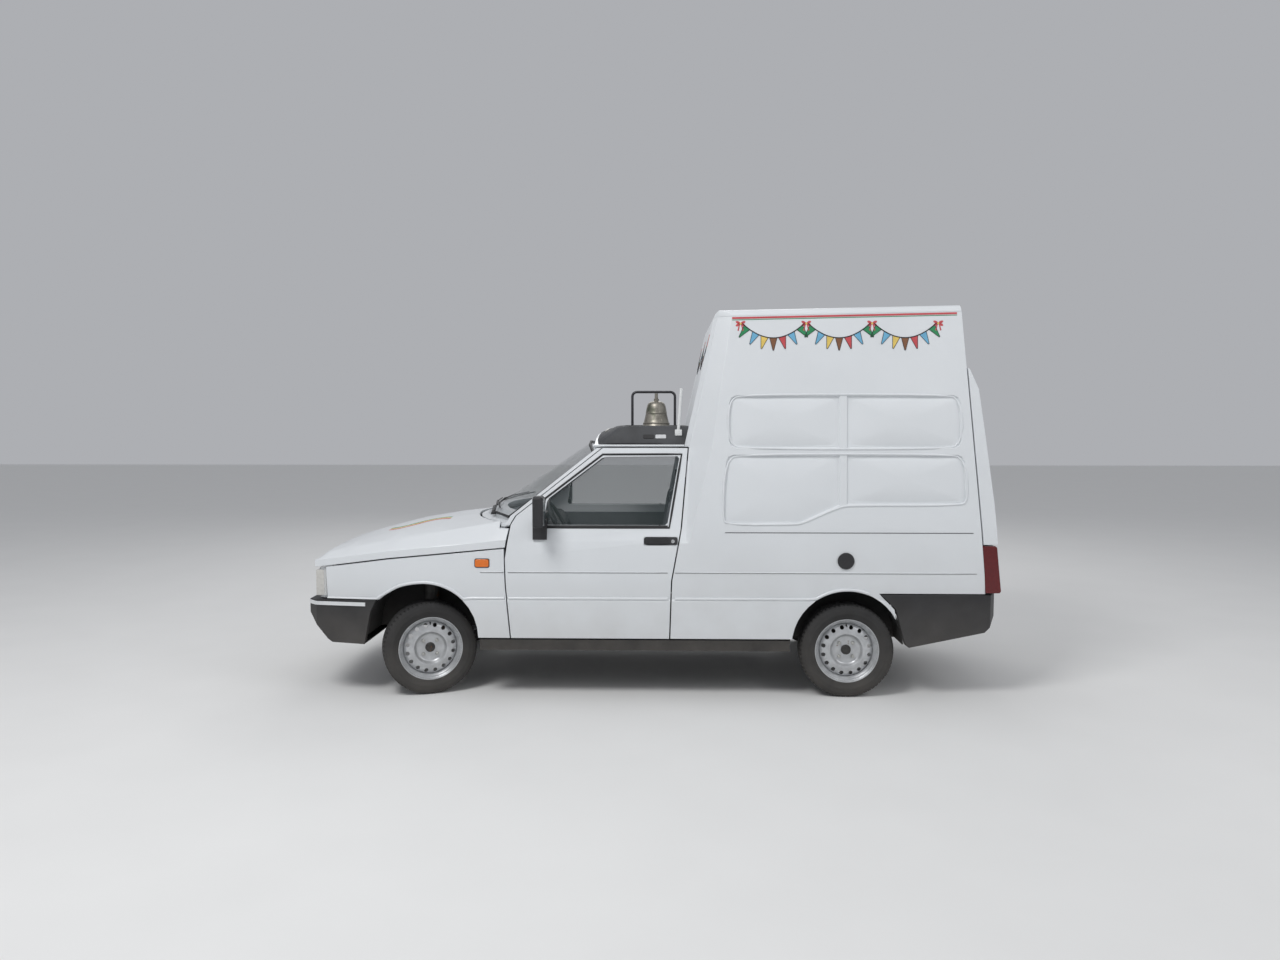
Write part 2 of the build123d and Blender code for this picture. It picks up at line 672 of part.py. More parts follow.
def blunted(points, radius=45, steps=2):
    """An outline with its corners rounded in a few flats."""
    with BuildLine() as line:
        FilletPolyline(*points, radius=radius, close=True)
    outline = []
    for edge in line.edges():
        if edge.geom_type == GeomType.LINE:
            outline.append(edge @ 0)
        else:
            outline += [edge @ (step / steps) for step in range(steps)]
    return [(point.X, point.Y) for point in outline]


def on_wall(points):
    """(x, height) points as seen from the side, in the wall's own plane."""
    stretch = Vector(0, HALF_WIDTH - BOX_TOP_Y, BOX_TOP_REAR_Z - SEAM_Z).length / (BOX_TOP_REAR_Z - SEAM_Z)
    return [(x, (z - SEAM_Z) * stretch) for x, z in points]


with BuildPart() as box_sides:
    # Steel side up to its shoulder
    foot = [(-y, z) for y, z in BOX_FOOT] + [(-y + SKIN, z) for y, z in BOX_FOOT[::-1]]
    extrude(face_yz(foot, DOOR_REAR), amount=TAIL)
    outline = [(DOOR_REAR + dx + GAP, z) for dx, z in DOOR_REAR_LINE[:3]]
    outline += [(door_rear(SHOULDER_Z) + GAP, SHOULDER_Z), (rear_edge(SHOULDER_Z), SHOULDER_Z)]
    outline += [(rear_edge(REAR_FLANK_Z), REAR_FLANK_Z), (BUMPER_R_FRONT, REAR_FLANK_Z)]
    outline += [(AXLE_R + 272, 544), (AXLE_R + 310, 330), (AXLE_R, 330), (AXLE_R, SILL_Z)]
    extrude(face_xz(outline), amount=REACH, both=True, mode=Mode.INTERSECT)
    extrude(rear_arch.sketch, amount=REACH, mode=Mode.SUBTRACT)
    # Wall above it, with the corner plate that folds in to the cab
    slices = []
    for z, (edge_x, edge_y), (fold_x, fold_y), (side_x, side_y) in CORNER:
        tail_x = rear_edge(z)
        outer = [(edge_x, -edge_y), (fold_x, -fold_y), (side_x, -side_y), (tail_x, -side_y)]
        inner = [(tail_x, -side_y + BOX_T), (side_x + 22, -side_y + BOX_T), (fold_x + 12, -fold_y + BOX_T)]
        slices.append(face_xy(outer + inner + [(edge_x, -edge_y + BOX_T)], z))
    loft(slices, ruled=True)
    extrude(above_side(), amount=REACH, both=True, mode=Mode.SUBTRACT)
    # Shallow pressed fields, each split by the rib
    for field in (UPPER_RECESS, LOWER_RECESS):
        with BuildSketch(box_wall_plane()):
            with BuildLine():
                Polyline(*blunted(on_wall(field)), close=True)
            make_face()
            rib_x, rib_w = RIB
            with Locations((rib_x + rib_w / 2, 0)):
                Rectangle(rib_w, 2 * REACH, mode=Mode.SUBTRACT)
        extrude(amount=-RECESS, taper=32, mode=Mode.SUBTRACT)
    mirror(about=Plane.XZ)
box_sides.part.label = "box_sides"
export_step(box_sides.part, "parts/box_sides.step")

# Box front, leaning back above the cab
with BuildPart() as box_front:
    slices = []
    for z, flat_x, flat_y in (FRONT_PLATE_LOW, FRONT_PLATE_HIGH):
        side_x, side_y = corner_at(z, 1)
        outer = [(side_x, -side_y + 0.5), (flat_x, -flat_y)]
        inner = [(flat_x + BOX_T, -flat_y + 4), (side_x, -side_y + BOX_T + SEAT)]
        ring = outer + [(x, -y) for x, y in outer[::-1]] + [(x, -y) for x, y in inner[::-1]] + inner
        slices.append(face_xy(ring, z))
    loft(slices, ruled=True)
    extrude(roof_slice(NOSE, -SEAT, 1400), amount=3000, mode=Mode.SUBTRACT)
    extrude(above_side(), amount=REACH, both=True, mode=Mode.SUBTRACT)
    add(box_sides.part, mode=Mode.SUBTRACT)
box_front.part.label = "box_front"
export_step(box_front.part, "parts/box_front.step")

# Box roof with rounded long edges
ROOF_DROP = 30


def box_cap(x, drop=0):
    """A slice across the box roof, or across the space under it."""
    low = top_z(x) + SEAT - drop
    half = box_y(top_z(x)) - drop
    edge = low + ROOF_EDGE_H
    corner = flats((-half, low + 6), (-half + 12, edge - 12), (-half + 40, edge), 4)
    crown = flats((-half + 40, edge), (0, edge + ROOF_CROWN), (half - 40, edge))
    outline = [(-half, low)] + corner + crown[1:-1] + [(-y, z) for y, z in corner[::-1]] + [(half, low)]
    return face_yz(outline, x)


ROOF_Z = top_z(SIDE_FRONT)
roof_ends = (AXLE_F + 1700, BOX_REAR + 20)
flat_x = between([FRONT_PLATE_LOW[:2], FRONT_PLATE_HIGH[:2]], ROOF_Z)
flat_y = between([FRONT_PLATE_LOW[::2], FRONT_PLATE_HIGH[::2]], ROOF_Z)
fold_x, fold_y = corner_at(ROOF_Z, 2)
side_x, side_y = corner_at(ROOF_Z, 3)
roof_plan = [(flat_x, -flat_y), (fold_x, -fold_y), (side_x, -side_y), (BOX_REAR + 20, -side_y)]

# The part of the roof that closes its front end
with BuildPart() as roof_lip:
    loft([box_cap(x) for x in roof_ends], ruled=True)
    behind = [(x + BOX_T, y * 0.96) for x, y in roof_plan[:3]] + [(BOX_REAR + 90, -side_y)]
    extrude(face_xy(mirrored(behind), 2000), amount=600, mode=Mode.SUBTRACT)

with BuildPart() as box_roof:
    loft([box_cap(x) for x in roof_ends], ruled=True)
    loft([box_cap(x, ROOF_DROP) for x in roof_ends], ruled=True, mode=Mode.SUBTRACT)
    add(roof_lip.part)
    extrude(face_xy(mirrored(roof_plan), 2000), amount=600, mode=Mode.INTERSECT)
    brow = [(flat_x, ROOF_Z - 20), (flat_x + 6, ROOF_Z + 20), (flat_x + 40, ROOF_Z + 52)]
    brow += [(flat_x + 140, ROOF_Z + 90), (flat_x + 300, ROOF_Z + 140)]
    heel = [(BOX_REAR - 8, ROOF_Z + 140), (rear_edge(ROOF_Z), ROOF_Z - 20)]
    extrude(face_xz(brow + heel), amount=REACH, both=True, mode=Mode.INTERSECT)
box_roof.part.label = "box_roof"
export_step(box_roof.part, "parts/box_roof.step")

# Rear frame: header panel, jambs, sill and lamp posts
DOOR_TOP_Z = 1985
POST_W = 46
LAMP_IN = 705
LAMP_TOP_Z = 929
DOOR_NARROW = 672
DOOR_SHELF_Z = LAMP_TOP_Z + GAP
JAMB_DEPTH = 70
jamb_y = box_y(DOOR_TOP_Z) - BOX_T - SEAT - POST_W
jamb_low_y = HALF_WIDTH - SKIN - SEAT - POST_W
rear_levels = (REAR_FLANK_Z, BOX_LOFT_Z)
REAR_HOLE = (  # half width and height of the opening
    (LAMP_IN - 32, LOAD_Z + 36),
    (LAMP_IN - 32, LAMP_TOP_Z),
    (jamb_low_y, DOOR_SHELF_Z + 24),
    (jamb_y, DOOR_TOP_Z - 40),
)


def rear_opening(widen=0):
    """The rear doorway, widened all round."""
    rise = (-widen, widen, widen, widen)
    half = [(y + widen, z + dz) for (y, z), dz in zip(REAR_HOLE, rise)]
    return face_yz([(-y, z) for y, z in half] + half[::-1], NOSE)


# Seal bead that the rear doors close on
with BuildPart() as rear_seal:
    bead = [(rear_edge(z) - 4, z) for z in rear_levels]
    bead += [(rear_edge(z) + GAP - SEAT, z) for z in rear_levels[::-1]]
    extrude(face_xz(bead), amount=REACH, both=True)
    extrude(rear_opening(16), amount=2 * TAIL, mode=Mode.INTERSECT)
    extrude(rear_opening(), amount=2 * TAIL, mode=Mode.SUBTRACT)

with BuildPart() as rear_frame:
    panel = [(rear_edge(z), z) for z in rear_levels]
    panel += [(rear_edge(z) - JAMB_DEPTH, z) for z in rear_levels[::-1]]
    extrude(face_xz(panel), amount=REACH, both=True)
    low_in = HALF_WIDTH - SKIN - SEAT
    across = [(LIP_IN_Y - SKIN - SEAT, REAR_FLANK_Z), (low_in, CREASE_Z), (low_in, SHOULDER_Z)]
    across += [(box_y(SEAM_Z) - BOX_T - SEAT - 3, SEAM_Z), (box_y(BOX_LOFT_Z) - BOX_T - SEAT, BOX_LOFT_Z)]
    extrude(face_yz(mirrored_yz(across), NOSE), amount=2 * TAIL, mode=Mode.INTERSECT)
    extrude(rear_opening(), amount=2 * TAIL, mode=Mode.SUBTRACT)
    extrude(above_side(), amount=REACH, both=True, mode=Mode.SUBTRACT)
    # Hollow behind the header
    header = [(rear_edge(z) - BOX_T, z) for z in (DOOR_TOP_Z + 10, OVER_Z)]
    header += [(rear_edge(z) - JAMB_DEPTH - 1, z) for z in (OVER_Z, DOOR_TOP_Z + 10)]
    extrude(face_xz(header), amount=BOX_TOP_Y - 120, both=True, mode=Mode.SUBTRACT)
    add(rear_seal.part)
rear_frame.part.label = "rear_frame"
export_step(rear_frame.part, "parts/rear_frame.step")

# Rear doors: x behind the side's rear edge, height
REAR_DOOR = (
    (93, BUMPER_R_TOP + 12),
    (93, 1036),
    (92, 1187),
    (83, 1398),
    (74, 1608),
    (61, 1860),
    (21, 1973),
    (12, DOOR_TOP_Z),
)
REAR_DOOR_T = 30
MEET = 4  # half of the gap where the two doors meet
REAR_DOOR_LOW = BUMPER_R_TOP + 12

# The space inside the pan of the left rear door
with BuildPart() as rear_door_space:
    pocket = [(rear_edge(REAR_DOOR_LOW) + 93 - REAR_DOOR_T, REAR_DOOR_LOW + 38)]
    pocket += [(rear_edge(z) + dx - REAR_DOOR_T, z) for dx, z in REAR_DOOR[1:-2]]
    pocket += [(rear_edge(1860) - 5, 1860), (rear_edge(REAR_DOOR_LOW) - 5, REAR_DOOR_LOW + 38)]
    extrude(face_xz(pocket), amount=REACH)
    well = [(box_y(1900) - 60, 1900), (HALF_WIDTH - 60, SEAM_Z), (HALF_WIDTH - 60, DOOR_SHELF_Z + 40)]
    well += [(DOOR_NARROW - 44, DOOR_SHELF_Z), (DOOR_NARROW - 44, 600), (MEET + 40, 600), (MEET + 40, 1900)]
    extrude(face_yz([(-y, z) for y, z in well], NOSE), amount=2 * TAIL, mode=Mode.INTERSECT)

with BuildPart() as rear_door_left:
    skin = [(rear_edge(z) + dx, z) for dx, z in REAR_DOOR]
    extrude(face_xz(skin + [(rear_edge(z) + GAP, z) for z in (DOOR_TOP_Z, REAR_DOOR_LOW)]), amount=REACH)
    outer = [(box_y(DOOR_TOP_Z), DOOR_TOP_Z), (HALF_WIDTH, SEAM_Z), (HALF_WIDTH, DOOR_SHELF_Z)]
    outer += [(DOOR_NARROW, DOOR_SHELF_Z), (DOOR_NARROW, REAR_DOOR_LOW), (MEET, REAR_DOOR_LOW)]
    outer += [(MEET, DOOR_TOP_Z)]
    extrude(face_yz([(-y, z) for y, z in outer], NOSE), amount=2 * TAIL, mode=Mode.INTERSECT)
    add(rear_door_space.part, mode=Mode.SUBTRACT)
rear_door_left.part.label = "rear_door_left"
export_step(rear_door_left.part, "parts/rear_door_left.step")

with BuildPart() as rear_door_right:
    mirror(rear_door_left.part, about=Plane.XZ)
rear_door_right.part.label = "rear_door_right"
export_step(rear_door_right.part, "parts/rear_door_right.step")

# Rear bumper, wrapping round to the arches
BUMPER_R_SIDE = (  # x from the rear axle, height
    (192, BUMPER_R_TOP),
    (911, BUMPER_R_TOP),
    (917, BUMPER_R_TOP - 20),
    (915, 508),
    (813, 405),
    (362, 313),
    (338, 330),
    (280, 544),
)


def tail_plan(inset):
    """The tail in plan, drawn in by an inset."""
    with BuildSketch(Plane.XY) as sketch:
        with BuildLine():
            corner = (TAIL - 22 - inset, 700 - inset)
            ThreePointArc(corner, (TAIL - inset, 0), (corner[0], -corner[1]))
            Polyline(
                (TAIL - 22 - inset, -700 + inset),
                (TAIL - 75 - inset, -HALF_WIDTH + 16 + inset),
                (AXLE_R + 188, -HALF_WIDTH + 4 + inset),
                (AXLE_R + 188, HALF_WIDTH - 4 - inset),
                (TAIL - 75 - inset, HALF_WIDTH - 16 - inset),
                (TAIL - 22 - inset, 700 - inset),
            )
        make_face()
    return sketch.sketch


with BuildPart() as rear_core:
    extrude(tail_plan(BUMPER_T), amount=900)
    ledge_x = rear_edge(REAR_FLANK_Z) - JAMB_DEPTH
    core = [(AXLE_R + 100, OVER_Z), (ledge_x, OVER_Z), (ledge_x, BUMPER_R_TOP - 22)]
    core += [(TAIL - BUMPER_T, BUMPER_R_TOP - 22), (TAIL - BUMPER_T, 524), (AXLE_R + 790, 440)]
    core += [(AXLE_R + 362, 280), (AXLE_R + 100, 280)]
    extrude(face_xz(core), amount=REACH, both=True, mode=Mode.INTERSECT)

with BuildPart() as rear_bumper:
    extrude(tail_plan(0), amount=900)
    bumper_side = face_xz([(AXLE_R + dx, z) for dx, z in BUMPER_R_SIDE])
    extrude(bumper_side, amount=REACH, both=True, mode=Mode.INTERSECT)
    add(rear_core.part, mode=Mode.SUBTRACT)
rear_bumper.part.label = "rear_bumper"
export_step(rear_bumper.part, "parts/rear_bumper.step")

# Tail lamps on their posts
with BuildPart() as tail_lamps:
    lens = [(rear_edge(z) + SEAT, z) for z in (REAR_FLANK_Z + 6, LAMP_TOP_Z)]
    lens += [(rear_edge(LAMP_TOP_Z) + 88, LAMP_TOP_Z), (rear_edge(REAR_FLANK_Z) + 92, REAR_FLANK_Z + 6)]
    with BuildSketch(Plane.XZ.offset(LAMP_IN)):
        with BuildLine():
            Polyline(*lens, close=True)
        make_face()
    extrude(amount=HALF_WIDTH - 5 - LAMP_IN)
    chamfer(tail_lamps.edges().filter_by(Axis.Y).sort_by(Axis.X)[-2:], 10)
    mirror(about=Plane.XZ)
tail_lamps.part.label = "tail_lamps"
export_step(tail_lamps.part, "parts/tail_lamps.step")

# Roof pod: a moulded fairing over the cab roof
POD_FRONT = NOSE + 1748
POD_LOW_Z = CAB_TOP_Z - 6
POD_TOP_Z = 1642
DECK_Z = 1604
DECK_FRONT = NOSE + 1950
DECK_REAR = NOSE + 2330
pod_low = (
    (POD_FRONT, 60),
    (POD_FRONT + 24, 420),
    (POD_FRONT + 74, 588),
    (NOSE + 1838, 624),
    (BULKHEAD_X + 20, 624),
)
pod_top = (
    (NOSE + 1926, 60),
    (NOSE + 1928, 400),
    (NOSE + 1936, 500),
    (NOSE + 1992, 560),
    (BULKHEAD_X + 60, 560),
)
with BuildPart() as roof_pod:
    loft(
        [
            face_xy(mirrored([(x, -y) for x, y in pod_low]), POD_LOW_Z),
            face_xy(mirrored([(x, -y) for x, y in pod_top]), POD_TOP_Z),
        ],
        ruled=True,
    )
    with BuildSketch(Plane.XY.offset(POD_TOP_Z)):
        with Locations(((DECK_FRONT + DECK_REAR) / 2, 0)):
            RectangleRounded(DECK_REAR - DECK_FRONT, 860, 50)
    extrude(amount=DECK_Z - POD_TOP_Z, taper=20, mode=Mode.SUBTRACT)
    extrude(roof_slice(ROOF_FRONT - 2, -SEAT, 1300), amount=900, mode=Mode.SUBTRACT)
    behind_screen = [screen_slice(level, -SEAT, 400, -60) for level in (SCREEN_LOW, SCREEN_HIGH)]
    loft(behind_screen, ruled=True, mode=Mode.SUBTRACT)
    plate = [FRONT_PLATE_LOW[:2], FRONT_PLATE_HIGH[:2]]
    wall = [(between(plate, z) - SEAT, z) for z in (1400, 1800)]
    wall += [(x + 400, z) for x, z in wall[::-1]]
    extrude(face_xz(wall), amount=REACH, both=True, mode=Mode.SUBTRACT)
roof_pod.part.label = "roof_pod"
export_step(roof_pod.part, "parts/roof_pod.step")

# Bell frame
BELL_X = NOSE + 2164
BELL_MOUTH_Z = 1622
BELL_BAR_Z = 1867
BELL_FRAME_R = 9
FRAME_X = (NOSE + 2002, NOSE + 2290)
with BuildPart() as bell_frame:
    cut = 26
    with BuildLine() as hoop:
        Polyline(
            (FRAME_X[0], 0, DECK_Z + 6),
            (FRAME_X[0], 0, BELL_BAR_Z - cut),
            (FRAME_X[0] + cut, 0, BELL_BAR_Z),
            (FRAME_X[1] - cut, 0, BELL_BAR_Z),
            (FRAME_X[1], 0, BELL_BAR_Z - cut),
            (FRAME_X[1], 0, DECK_Z + 6),
        )
    with BuildSketch(Plane(origin=hoop.line @ 0, z_dir=(0, 0, 1))):
        RegularPolygon(BELL_FRAME_R, 8)
    sweep(transition=Transition.RIGHT)
    for x in FRAME_X:
        with Locations((x, 0, DECK_Z + SEAT + 4)):
            Box(26, 26, 8)
bell_frame.part.label = "bell_frame"
export_step(bell_frame.part, "parts/bell_frame.step")

# Bell: radius, height above its mouth
BELL_WALL = 6
BELL_OUTER = ((107, 0), (88, 40), (70, 104), (62, 150), (48, 175))
BELL_SIDES = 20
CLAPPER_Z = BELL_MOUTH_Z + 150
CLAPPER_PIN_R = 3
with BuildPart() as bell:
    top = BELL_MOUTH_Z + BELL_OUTER[-1][1]
    loft(drum_faces([(r, BELL_MOUTH_Z + z) for r, z in BELL_OUTER], BELL_SIDES, BELL_X), ruled=True)
    inside = [(r - BELL_WALL, BELL_MOUTH_Z + z) for r, z in BELL_OUTER[:-1]]
    inside += [(BELL_OUTER[-1][0] - 2 * BELL_WALL, top - BELL_WALL)]
    loft(drum_faces(inside, BELL_SIDES, BELL_X), ruled=True, mode=Mode.SUBTRACT)
    hanger_top = BELL_BAR_Z - BELL_FRAME_R - SEAT
    hanger = ((40, top), (19, top + 14), (19, top + 28), (11, top + 34), (11, hanger_top))
    loft(drum_faces(hanger, 12, BELL_X), ruled=True)
    for side in (-1, 1):
        with Locations((BELL_X, side * 12, (CLAPPER_Z - 8 + top - 4) / 2)):
            Box(14, 6, top - 4 - CLAPPER_Z + 8)
    with Locations((BELL_X, 0, CLAPPER_Z)):
        Cylinder(CLAPPER_PIN_R, 24, rotation=(90, 0, 0))
bell.part.label = "bell"
export_step(bell.part, "parts/bell.step")

with BuildPart() as clapper:
    with Locations((BELL_X, 0, CLAPPER_Z)):
        Box(15, 13, 15)
    low = BELL_MOUTH_Z + 4
    stem = ((8, low), (14, low + 9), (14, low + 18), (5, low + 28), (4, CLAPPER_Z - 6))
    loft(drum_faces(stem, 10, BELL_X), ruled=True)
    with Locations((BELL_X, 0, CLAPPER_Z)):
        Cylinder(CLAPPER_PIN_R + RUN, 40, rotation=(90, 0, 0), mode=Mode.SUBTRACT)
clapper.part.label = "clapper"
export_step(clapper.part, "parts/clapper.step")

# Slanted white post at the pod's rear corner
POST_R = 10
with BuildPart() as signal_post:
    with BuildLine() as post_line:
        Line((NOSE + 2302, -578, 1590), (NOSE + 2322, -556, 1874))
    with BuildSketch(Plane(origin=post_line.line @ 0, z_dir=post_line.line % 0)):
        RegularPolygon(POST_R, 8)
    sweep()
    with Locations((NOSE + 2302, -580, 1600)):
        Box(44, 56, 40)
    add(roof_pod.part, mode=Mode.SUBTRACT)
signal_post.part.label = "signal_post"
export_step(signal_post.part, "parts/signal_post.step")

# Floor: cab floor, load floor, rails, sills, firewall and nose panel
FIREWALL_X = DOOR_FRONT - 146
HOUSE_CLEAR = 34  # wheel house outside the arch edge
HOUSE_T = 8
HOUSE_SIDES = 24
HOUSE_IN_F = 440
HOUSE_IN_R = 556
HOUSE_OUT_F = 735
HOUSE_OUT_R = LIP_IN_Y - SKIN - SEAT
HOUSE_F_R = ARCH_F_R + HOUSE_CLEAR
HOUSE_R_R = ARCH_R_R + 6
NOSE_PANEL_X = LAMP_BACK + 8
BUFFERS = (255, 555)  # distances from the middle
BUFFER_W = 14
FLOOR_HALF = SILL_Y - DOOR_T - 6
with BuildPart() as floor_pan:
    with Locations(((FIREWALL_X + BULKHEAD_X + BULKHEAD_T) / 2, 0, FLOOR_Z - FLOOR_T / 2)):
        Box(BULKHEAD_X + BULKHEAD_T - FIREWALL_X, 2 * FLOOR_HALF, FLOOR_T)
    load_front = BULKHEAD_X + BULKHEAD_T + SEAT
    load_rear = rear_edge(LOAD_Z) - JAMB_DEPTH - 4
    load_half = LIP_IN_Y - SKIN - SEAT
    load_plan = [(load_front, -load_half), (BUMPER_R_FRONT, -load_half), (load_rear, -load_half + 8)]
    extrude(face_xy(mirrored(load_plan), LOAD_Z - LOAD_T), amount=LOAD_T)
    with Locations((load_front + 10, 0, (FLOOR_Z - FLOOR_T + LOAD_Z) / 2)):
        Box(20, 2 * FLOOR_HALF, LOAD_Z - FLOOR_Z + FLOOR_T)
    # Firewall with a slanting toe board
    wall_top = COWL_Z - COWL_T - 40
    toe = [(FIREWALL_X, FLOOR_Z - FLOOR_T), (FIREWALL_X, wall_top), (FIREWALL_X + 12, wall_top)]
    toe += [(FIREWALL_X + 12, FLOOR_Z + 180)]
    toe += [(FIREWALL_X + 130, z) for z in (FLOOR_Z, FLOOR_Z - FLOOR_T)]
    extrude(face_xz(toe), amount=PILLAR_IN - 4, both=True)
    # Nose panel that carries the lamps and the bonnet's buffers
    with Locations((NOSE_PANEL_X, 0, 610)):
        Box(16, 1390, 320)
    for side in (-1, 1):
        for y in BUFFERS:
            top = bonnet_under(NOSE_PANEL_X - BUFFER_W / 2, y + BUFFER_W / 2) - SEAT
            with Locations((NOSE_PANEL_X, side * y, (740 + top) / 2)):
                Box(BUFFER_W, BUFFER_W, top - 740)
        bracket_x = NOSE + BUMPER_T + 12.2
        with Locations(((bracket_x + NOSE_PANEL_X) / 2, side * RAIL_Y, 542)):
            Box(NOSE_PANEL_X - bracket_x, RAIL_W, 20)
        bracket_end = TAIL - BUMPER_T - 9.8
        with Locations(((load_rear - 20 + bracket_end) / 2, side * RAIL_Y, 545)):
            Box(bracket_end - load_rear + 20, RAIL_W, 30)
        # Rails under the nose and under the load floor
        with Locations(((NOSE_PANEL_X + FIREWALL_X) / 2 + 4, side * RAIL_Y, 462)):
            Box(FIREWALL_X - NOSE_PANEL_X + 16, RAIL_W, 80)
        with Locations(((load_front + load_rear) / 2, side * RAIL_Y, LOAD_Z - LOAD_T - 38)):
            Box(load_rear - load_front, RAIL_W, 80)
        # Black sill
        sill_front = ARCH_F[0] + ARCH_F_R + 10
        sill_rear = ARCH_R[0] - ARCH_R_R - 8
        sill_y = (FLOOR_HALF + SILL_Y - 8) / 2
        with Locations(((sill_front + sill_rear) / 2, side * sill_y, (SILL_LOW_Z + FLOOR_Z) / 2)):
            Box(sill_rear - sill_front, SILL_Y - FLOOR_HALF + 8, FLOOR_Z - SILL_LOW_Z)
        wall_z = (FLOOR_Z + LOAD_Z) / 2 - 10
        with Locations(((load_front + sill_rear) / 2, side * (load_half - 12), wall_z)):
            Box(sill_rear - load_front, 24, LOAD_Z - FLOOR_Z)
    # Room for the wheel houses and the corner plates
    for side in (-1, 1):
        with BuildSketch(Plane.XZ.offset(-side * (HOUSE_IN_R - HOUSE_T - SEAT))):
            with Locations(ARCH_R):
                RegularPolygon(HOUSE_R_R + HOUSE_T + SEAT, HOUSE_SIDES)
        extrude(amount=-side * REACH, mode=Mode.SUBTRACT)
floor_pan.part.label = "floor_pan"
export_step(floor_pan.part, "parts/floor_pan.step")

# Wheel houses: half drums closed on their inner side
with BuildPart() as wheelhouses:
    houses = ((ARCH_F, HOUSE_F_R, HOUSE_IN_F, HOUSE_OUT_F), (ARCH_R, HOUSE_R_R, HOUSE_IN_R, HOUSE_OUT_R))
    for (x, z), radius, inner_y, outer_y in houses:
        with BuildSketch(Plane.XZ.offset(inner_y - HOUSE_T)):
            with Locations((x, z)):
                RegularPolygon(radius + HOUSE_T, HOUSE_SIDES)
            with Locations((x, z - REACH / 2)):
                Rectangle(REACH, REACH, mode=Mode.SUBTRACT)
        extrude(amount=outer_y - inner_y + HOUSE_T)
        with BuildSketch(Plane.XZ.offset(inner_y)):
            with Locations((x, z)):
                RegularPolygon(radius, HOUSE_SIDES)
        extrude(amount=REACH, mode=Mode.SUBTRACT)
    mirror(about=Plane.XZ)
wheelhouses.part.label = "wheelhouses"
export_step(wheelhouses.part, "parts/wheelhouses.step")

# Engine, one plain block
with BuildPart() as engine:
    with Locations((AXLE_F - 120, 0, 640)):
        Box(520, 640, 400)
    with Locations((AXLE_F - 120, 0, 474)):
        Box(160, 2 * (RAIL_Y - RAIL_W / 2) - 2 * SEAT, 50)
    chamfer(engine.edges().filter_by(Axis.Z), 20)
engine.part.label = "engine"
export_step(engine.part, "parts/engine.step")

# Grille with level slats between the lamps
GRILLE_HALF = 396
GRILLE_LOW = 598
GRILLE_TOP = 776
SLATS = 6
LAMP_FACE_LOW = NOSE + 70  # lamp face at the foot, on the centre line
LAMP_LEAN = 26
with BuildPart() as grille:
    face = [(LAMP_FACE_LOW, GRILLE_LOW), (LAMP_FACE_LOW + LAMP_LEAN, GRILLE_TOP)]
    front = face + [(x + 40, z) for x, z in face[::-1]]
    extrude(face_xz(front), amount=GRILLE_HALF, both=True)
    pitch = (GRILLE_TOP - GRILLE_LOW - 12) / SLATS
    for number in range(SLATS):
        low = GRILLE_LOW + 12 + number * pitch
        slot = [(LAMP_FACE_LOW + dx, low) for dx in (-20, 120)]
        slot += [(LAMP_FACE_LOW + dx, low + pitch - 12) for dx in (120, -20)]
        extrude(face_xz(slot), amount=GRILLE_HALF - 14, both=True, mode=Mode.SUBTRACT)
    for y in (-190, 0, 190):
        with Locations((LAMP_FACE_LOW + LAMP_LEAN / 2 + 30, y, (GRILLE_LOW + GRILLE_TOP) / 2)):
            Box(14, 10, GRILLE_TOP - GRILLE_LOW - 8)
    with Locations((NOSE_PANEL_X - 8 - SEAT - 18, 0, (GRILLE_LOW + GRILLE_TOP) / 2)):
        Box(36, 60, 40)
    with Locations(((LAMP_FACE_LOW + NOSE_PANEL_X + 24) / 2, 0, (GRILLE_LOW + GRILLE_TOP) / 2)):
        Box(NOSE_PANEL_X - LAMP_FACE_LOW - 50, 40, 16)
grille.part.label = "grille"
export_step(grille.part, "parts/grille.step")

# Head lamps, each with its corner lens round to the side
with BuildPart() as headlamps:
    side_face = [(LAMP_FACE_LOW, BUMPER_F_TOP + 4), (LAMP_FACE_LOW + LAMP_LEAN, GRILLE_TOP)]
    back = [(NOSE_PANEL_X - 8 - SEAT, GRILLE_TOP), (NOSE_PANEL_X - 8 - SEAT, BUMPER_F_TOP + 4)]
    with BuildSketch(Plane.XY.offset(BUMPER_F_TOP)):
        with BuildLine():
            lamp_y = HALF_WIDTH * 0.932 - 6
            Polyline(
                (LAMP_FACE_LOW, -GRILLE_HALF - 4),
                (LAMP_FACE_LOW + 18, -lamp_y + 90),
                (LAMP_FACE_LOW + 42, -lamp_y + 16),
                (LAMP_BACK - SEAT, -lamp_y - 4),
                (LAMP_BACK - SEAT, -GRILLE_HALF - 4),
                close=True,
            )
        make_face()
    extrude(amount=300)
    extrude(face_xz(side_face + back), amount=REACH, both=True, mode=Mode.INTERSECT)
    mirror(about=Plane.XZ)
headlamps.part.label = "headlamps"
export_step(headlamps.part, "parts/headlamps.step")

# Dashboard
DASH_REAR = DOOR_FRONT + 210
with BuildPart() as dashboard:
    dash = [(FIREWALL_X + 12 + SEAT, 990), (FIREWALL_X + 12 + SEAT, 760)]
    dash += [(DASH_REAR - 60, 740), (DASH_REAR, 800)]
    dash += [(DASH_REAR, 950), (DASH_REAR - 50, 1012), (FIREWALL_X + 110, 1022)]
    extrude(face_xz(dash), amount=PILLAR_IN - 8, both=True)
    chamfer(dashboard.edges().filter_by(Axis.Y).sort_by(Axis.X)[-3:], 12)
dashboard.part.label = "dashboard"
export_step(dashboard.part, "parts/dashboard.step")

